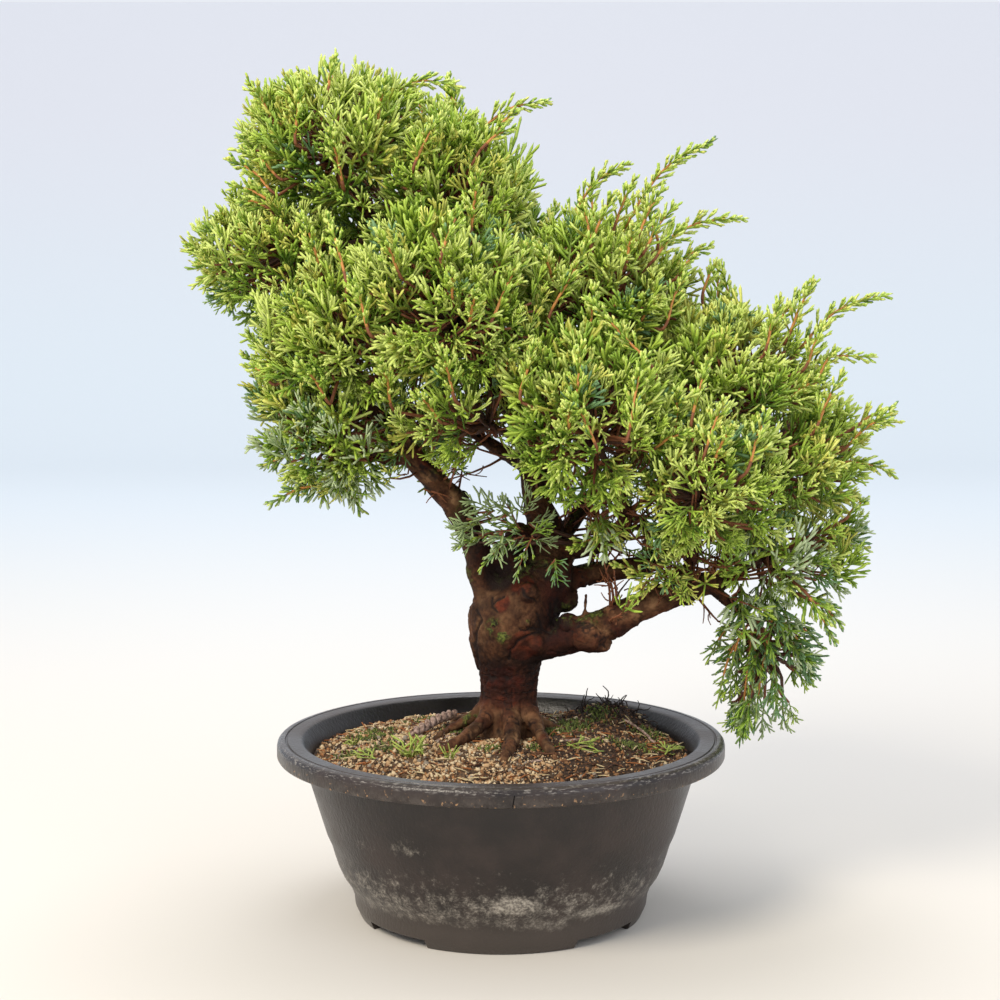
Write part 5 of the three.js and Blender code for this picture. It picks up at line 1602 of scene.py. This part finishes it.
def fallen_sprays():
    for x, y, turn in FALLEN:
        leaf, faces, _, stem = SPRAYS[turn % len(SPRAYS)]
        cos, sin = math.cos(math.radians(turn)), math.sin(math.radians(turn))
        spin = np.array([[cos, sin, 0], [-sin, cos, 0], [0, 0, 1]])
        rest = on_soil(np.array([[x, y]], float), 1.4)[0]
        for body, body_faces in ((leaf, faces), stem):
            yield ((body * (0.8, 0.8, 0.35)) @ spin + rest, body_faces), WEED


def lay_litter(dice):
    """Dry needles, moss, weeds, rootlets and fallen sprays, as one piece."""
    parts, tints = [], []
    for part, colours in itertools.chain(dry_needles(dice), moss_beds(dice), weeds(dice), black_rootlets(dice),
                                         fallen_sprays()):
        parts.append(part[:2])
        colours = np.atleast_1d(colours)
        tints.append(np.repeat(colours, len(part[1]) // len(colours)))
    piece("litter", *join(parts), LITTER, np.concatenate(tints), "soil")


def root_finish():
    """Bare root: matt and fibrous, purple-brown with paler ridges."""
    root, tree, shader, place = new_finish("root_bark_purple_brown", "#7C6158", 0.85)
    fibre = add_node(tree, "TexNoise", {"Vector": place, "Scale": per(1.5), "Detail": 4})
    share = add_node(tree, "MapRange", {"Value": fibre, "From Min": 0.35, "From Max": 0.65}, **SOFT)
    colour = add_node(tree, "Mix", {0: share, 6: shade("#6E564A"), 7: shade("#B09688")}, 2, **COLOURS)
    tree.links.new(colour, shader.inputs["Base Color"])
    relief = add_node(tree, "Bump", {"Height": fibre, "Distance": 0.4 * MM})
    tree.links.new(relief, shader.inputs["Normal"])
    return root


def lay_roots():
    """A root of two strands, wound round each other, and thin ones."""
    start, end = np.array(ROPE_ROOT["from"]), np.array(ROPE_ROOT["to"])
    length = np.linalg.norm(end - start)
    share = np.linspace(0, 1, 90)
    line = start + (end - start) * share[:, None] + np.array([0, 0, 1.2]) * np.sin(math.pi * share)[:, None]
    side = unit(np.cross(end - start, [0, 0, 1.0]))
    other = unit(np.cross(side, end - start))
    strands = []
    for phase in (0, math.pi):
        turn = (2 * math.pi * share * length / ROPE_ROOT["pitch"] + phase)[:, None]
        path = line + ROPE_ROOT["offset"] * (side * np.cos(turn) + other * np.sin(turn))
        strands.append(tube(path, ROPE_ROOT["radius"], 8))
    places = np.linspace(0, 1, 20)
    for rows in THIN_ROOTS:
        limb = Limb(rows)
        path = limb.at(places) + 0.5 * wobble(limb.at(places), 4, (7, 8, 9))
        strands.append(tube(path, limb.radius(places), 8))
    piece("surface_roots", *join(strands), [root_finish()], None, "bark")


make_soil()
soil_dice = np.random.default_rng(SEED + 500)
lay_grit(soil_dice)
lay_litter(soil_dice)
lay_roots()

# ---------------------------------------------------------------- camera, floor and light

FOCAL_PIXELS, PICTURE, SENSOR = 1784.5, 1000, 36
PITCH = 0.089                        # radians that the camera looks down
FLOOR_SIZE, CURVE_RADIUS, CURVE_STEPS = 6, 1.2, 24
LIGHTS = [                           # name, place, aim, size, power and colour
    ("key", (-0.9, -1.1, 1.35), (0, 0, 0.25), 0.8, 27, "#FFF4E2"),
    ("fill", (1.3, -1.2, 0.8), (0, 0, 0.2), 1.2, 5, "#EEF3FF"),
    ("top", (0.1, 0.5, 1.7), (0, 0, 0.3), 1.0, 12, "#F8F8FF"),
]


def set_camera():
    view = bpy.data.cameras.new("camera")
    view.sensor_width = SENSOR
    view.lens = FOCAL_PIXELS / PICTURE * SENSOR
    view.clip_start, view.clip_end = 0.01, 50
    eye = bpy.data.objects.new("camera", view)
    eye.location = metres(EYE)
    eye.rotation_euler = (math.pi / 2 - PITCH, 0, 0)
    bpy.context.collection.objects.link(eye)
    bpy.context.scene.camera = eye


def set_stage():
    """A pale floor that curves up behind into a cool pale wall, greyer in front and paler and cooler behind and up
    the wall: painted light on the backdrop.
    """
    bpy.ops.mesh.primitive_plane_add(size=FLOOR_SIZE, location=(0, 0, 0))
    floor = bpy.context.active_object
    floor.name = "floor"
    backdrop, tree, shader, place = new_finish("pale_paper", "#FAF1E6", 0.9)
    height = add_node(tree, "SeparateXYZ", {"Vector": place}, "Z")
    depth = add_node(tree, "SeparateXYZ", {"Vector": place}, "Y")
    # Greyer in front, paler and cooler behind and up the wall: painted light on the backdrop.
    share = add_node(tree, "MapRange", {"Value": depth, "From Min": 0.0, "From Max": 2.4}, **SOFT)
    colour = add_node(tree, "Mix", {0: share, 6: shade("#D6D1C8"), 7: shade("#EEF6FA")}, 2, **COLOURS)
    share = add_node(tree, "MapRange", {"Value": height, "From Min": 0.1, "From Max": 1}, **SOFT)
    colour = add_node(tree, "Mix", {0: share, 6: colour, 7: shade("#F0F0F4")}, 2, **COLOURS)
    tree.links.new(colour, shader.inputs["Base Color"])
    floor.data.materials.append(backdrop)
    bpy.ops.object.mode_set(mode="EDIT")
    bpy.ops.mesh.select_mode(type="EDGE")
    bpy.ops.mesh.select_all(action="DESELECT")
    bpy.ops.object.mode_set(mode="OBJECT")
    for edge in floor.data.edges:
        edge.select = all(floor.data.vertices[v].co.y > 0 for v in edge.vertices)
    bpy.ops.object.mode_set(mode="EDIT")
    bpy.ops.mesh.spin(steps=CURVE_STEPS, angle=-math.pi / 2, center=(0, FLOOR_SIZE / 2, CURVE_RADIUS), axis=(1, 0, 0))
    bpy.ops.object.mode_set(mode="OBJECT")
    floor.data.shade_smooth()


def set_light(name, spot, aim, size, power, colour):
    lamp = bpy.data.lights.new(name, "AREA")
    lamp.shape, lamp.size, lamp.energy, lamp.color = "DISK", size, power, shade(colour)[:3]
    holder = bpy.data.objects.new(name, lamp)
    bpy.context.collection.objects.link(holder)
    holder.location = spot
    way = np.array(aim) - np.array(spot)
    flat = math.hypot(way[0], way[1])
    holder.rotation_euler = (math.atan2(flat, -way[2]), 0, math.atan2(-way[0], way[1]))


set_camera()
set_stage()
for light in LIGHTS:
    set_light(*light)
world = bpy.data.worlds.new("studio")
world.use_nodes = True
sky = world.node_tree.nodes["Background"]
sky.inputs["Color"].default_value, sky.inputs["Strength"].default_value = shade("#EEF2FA"), 0.95
bpy.context.scene.view_settings.view_transform = "Standard"
bpy.context.scene.world = world
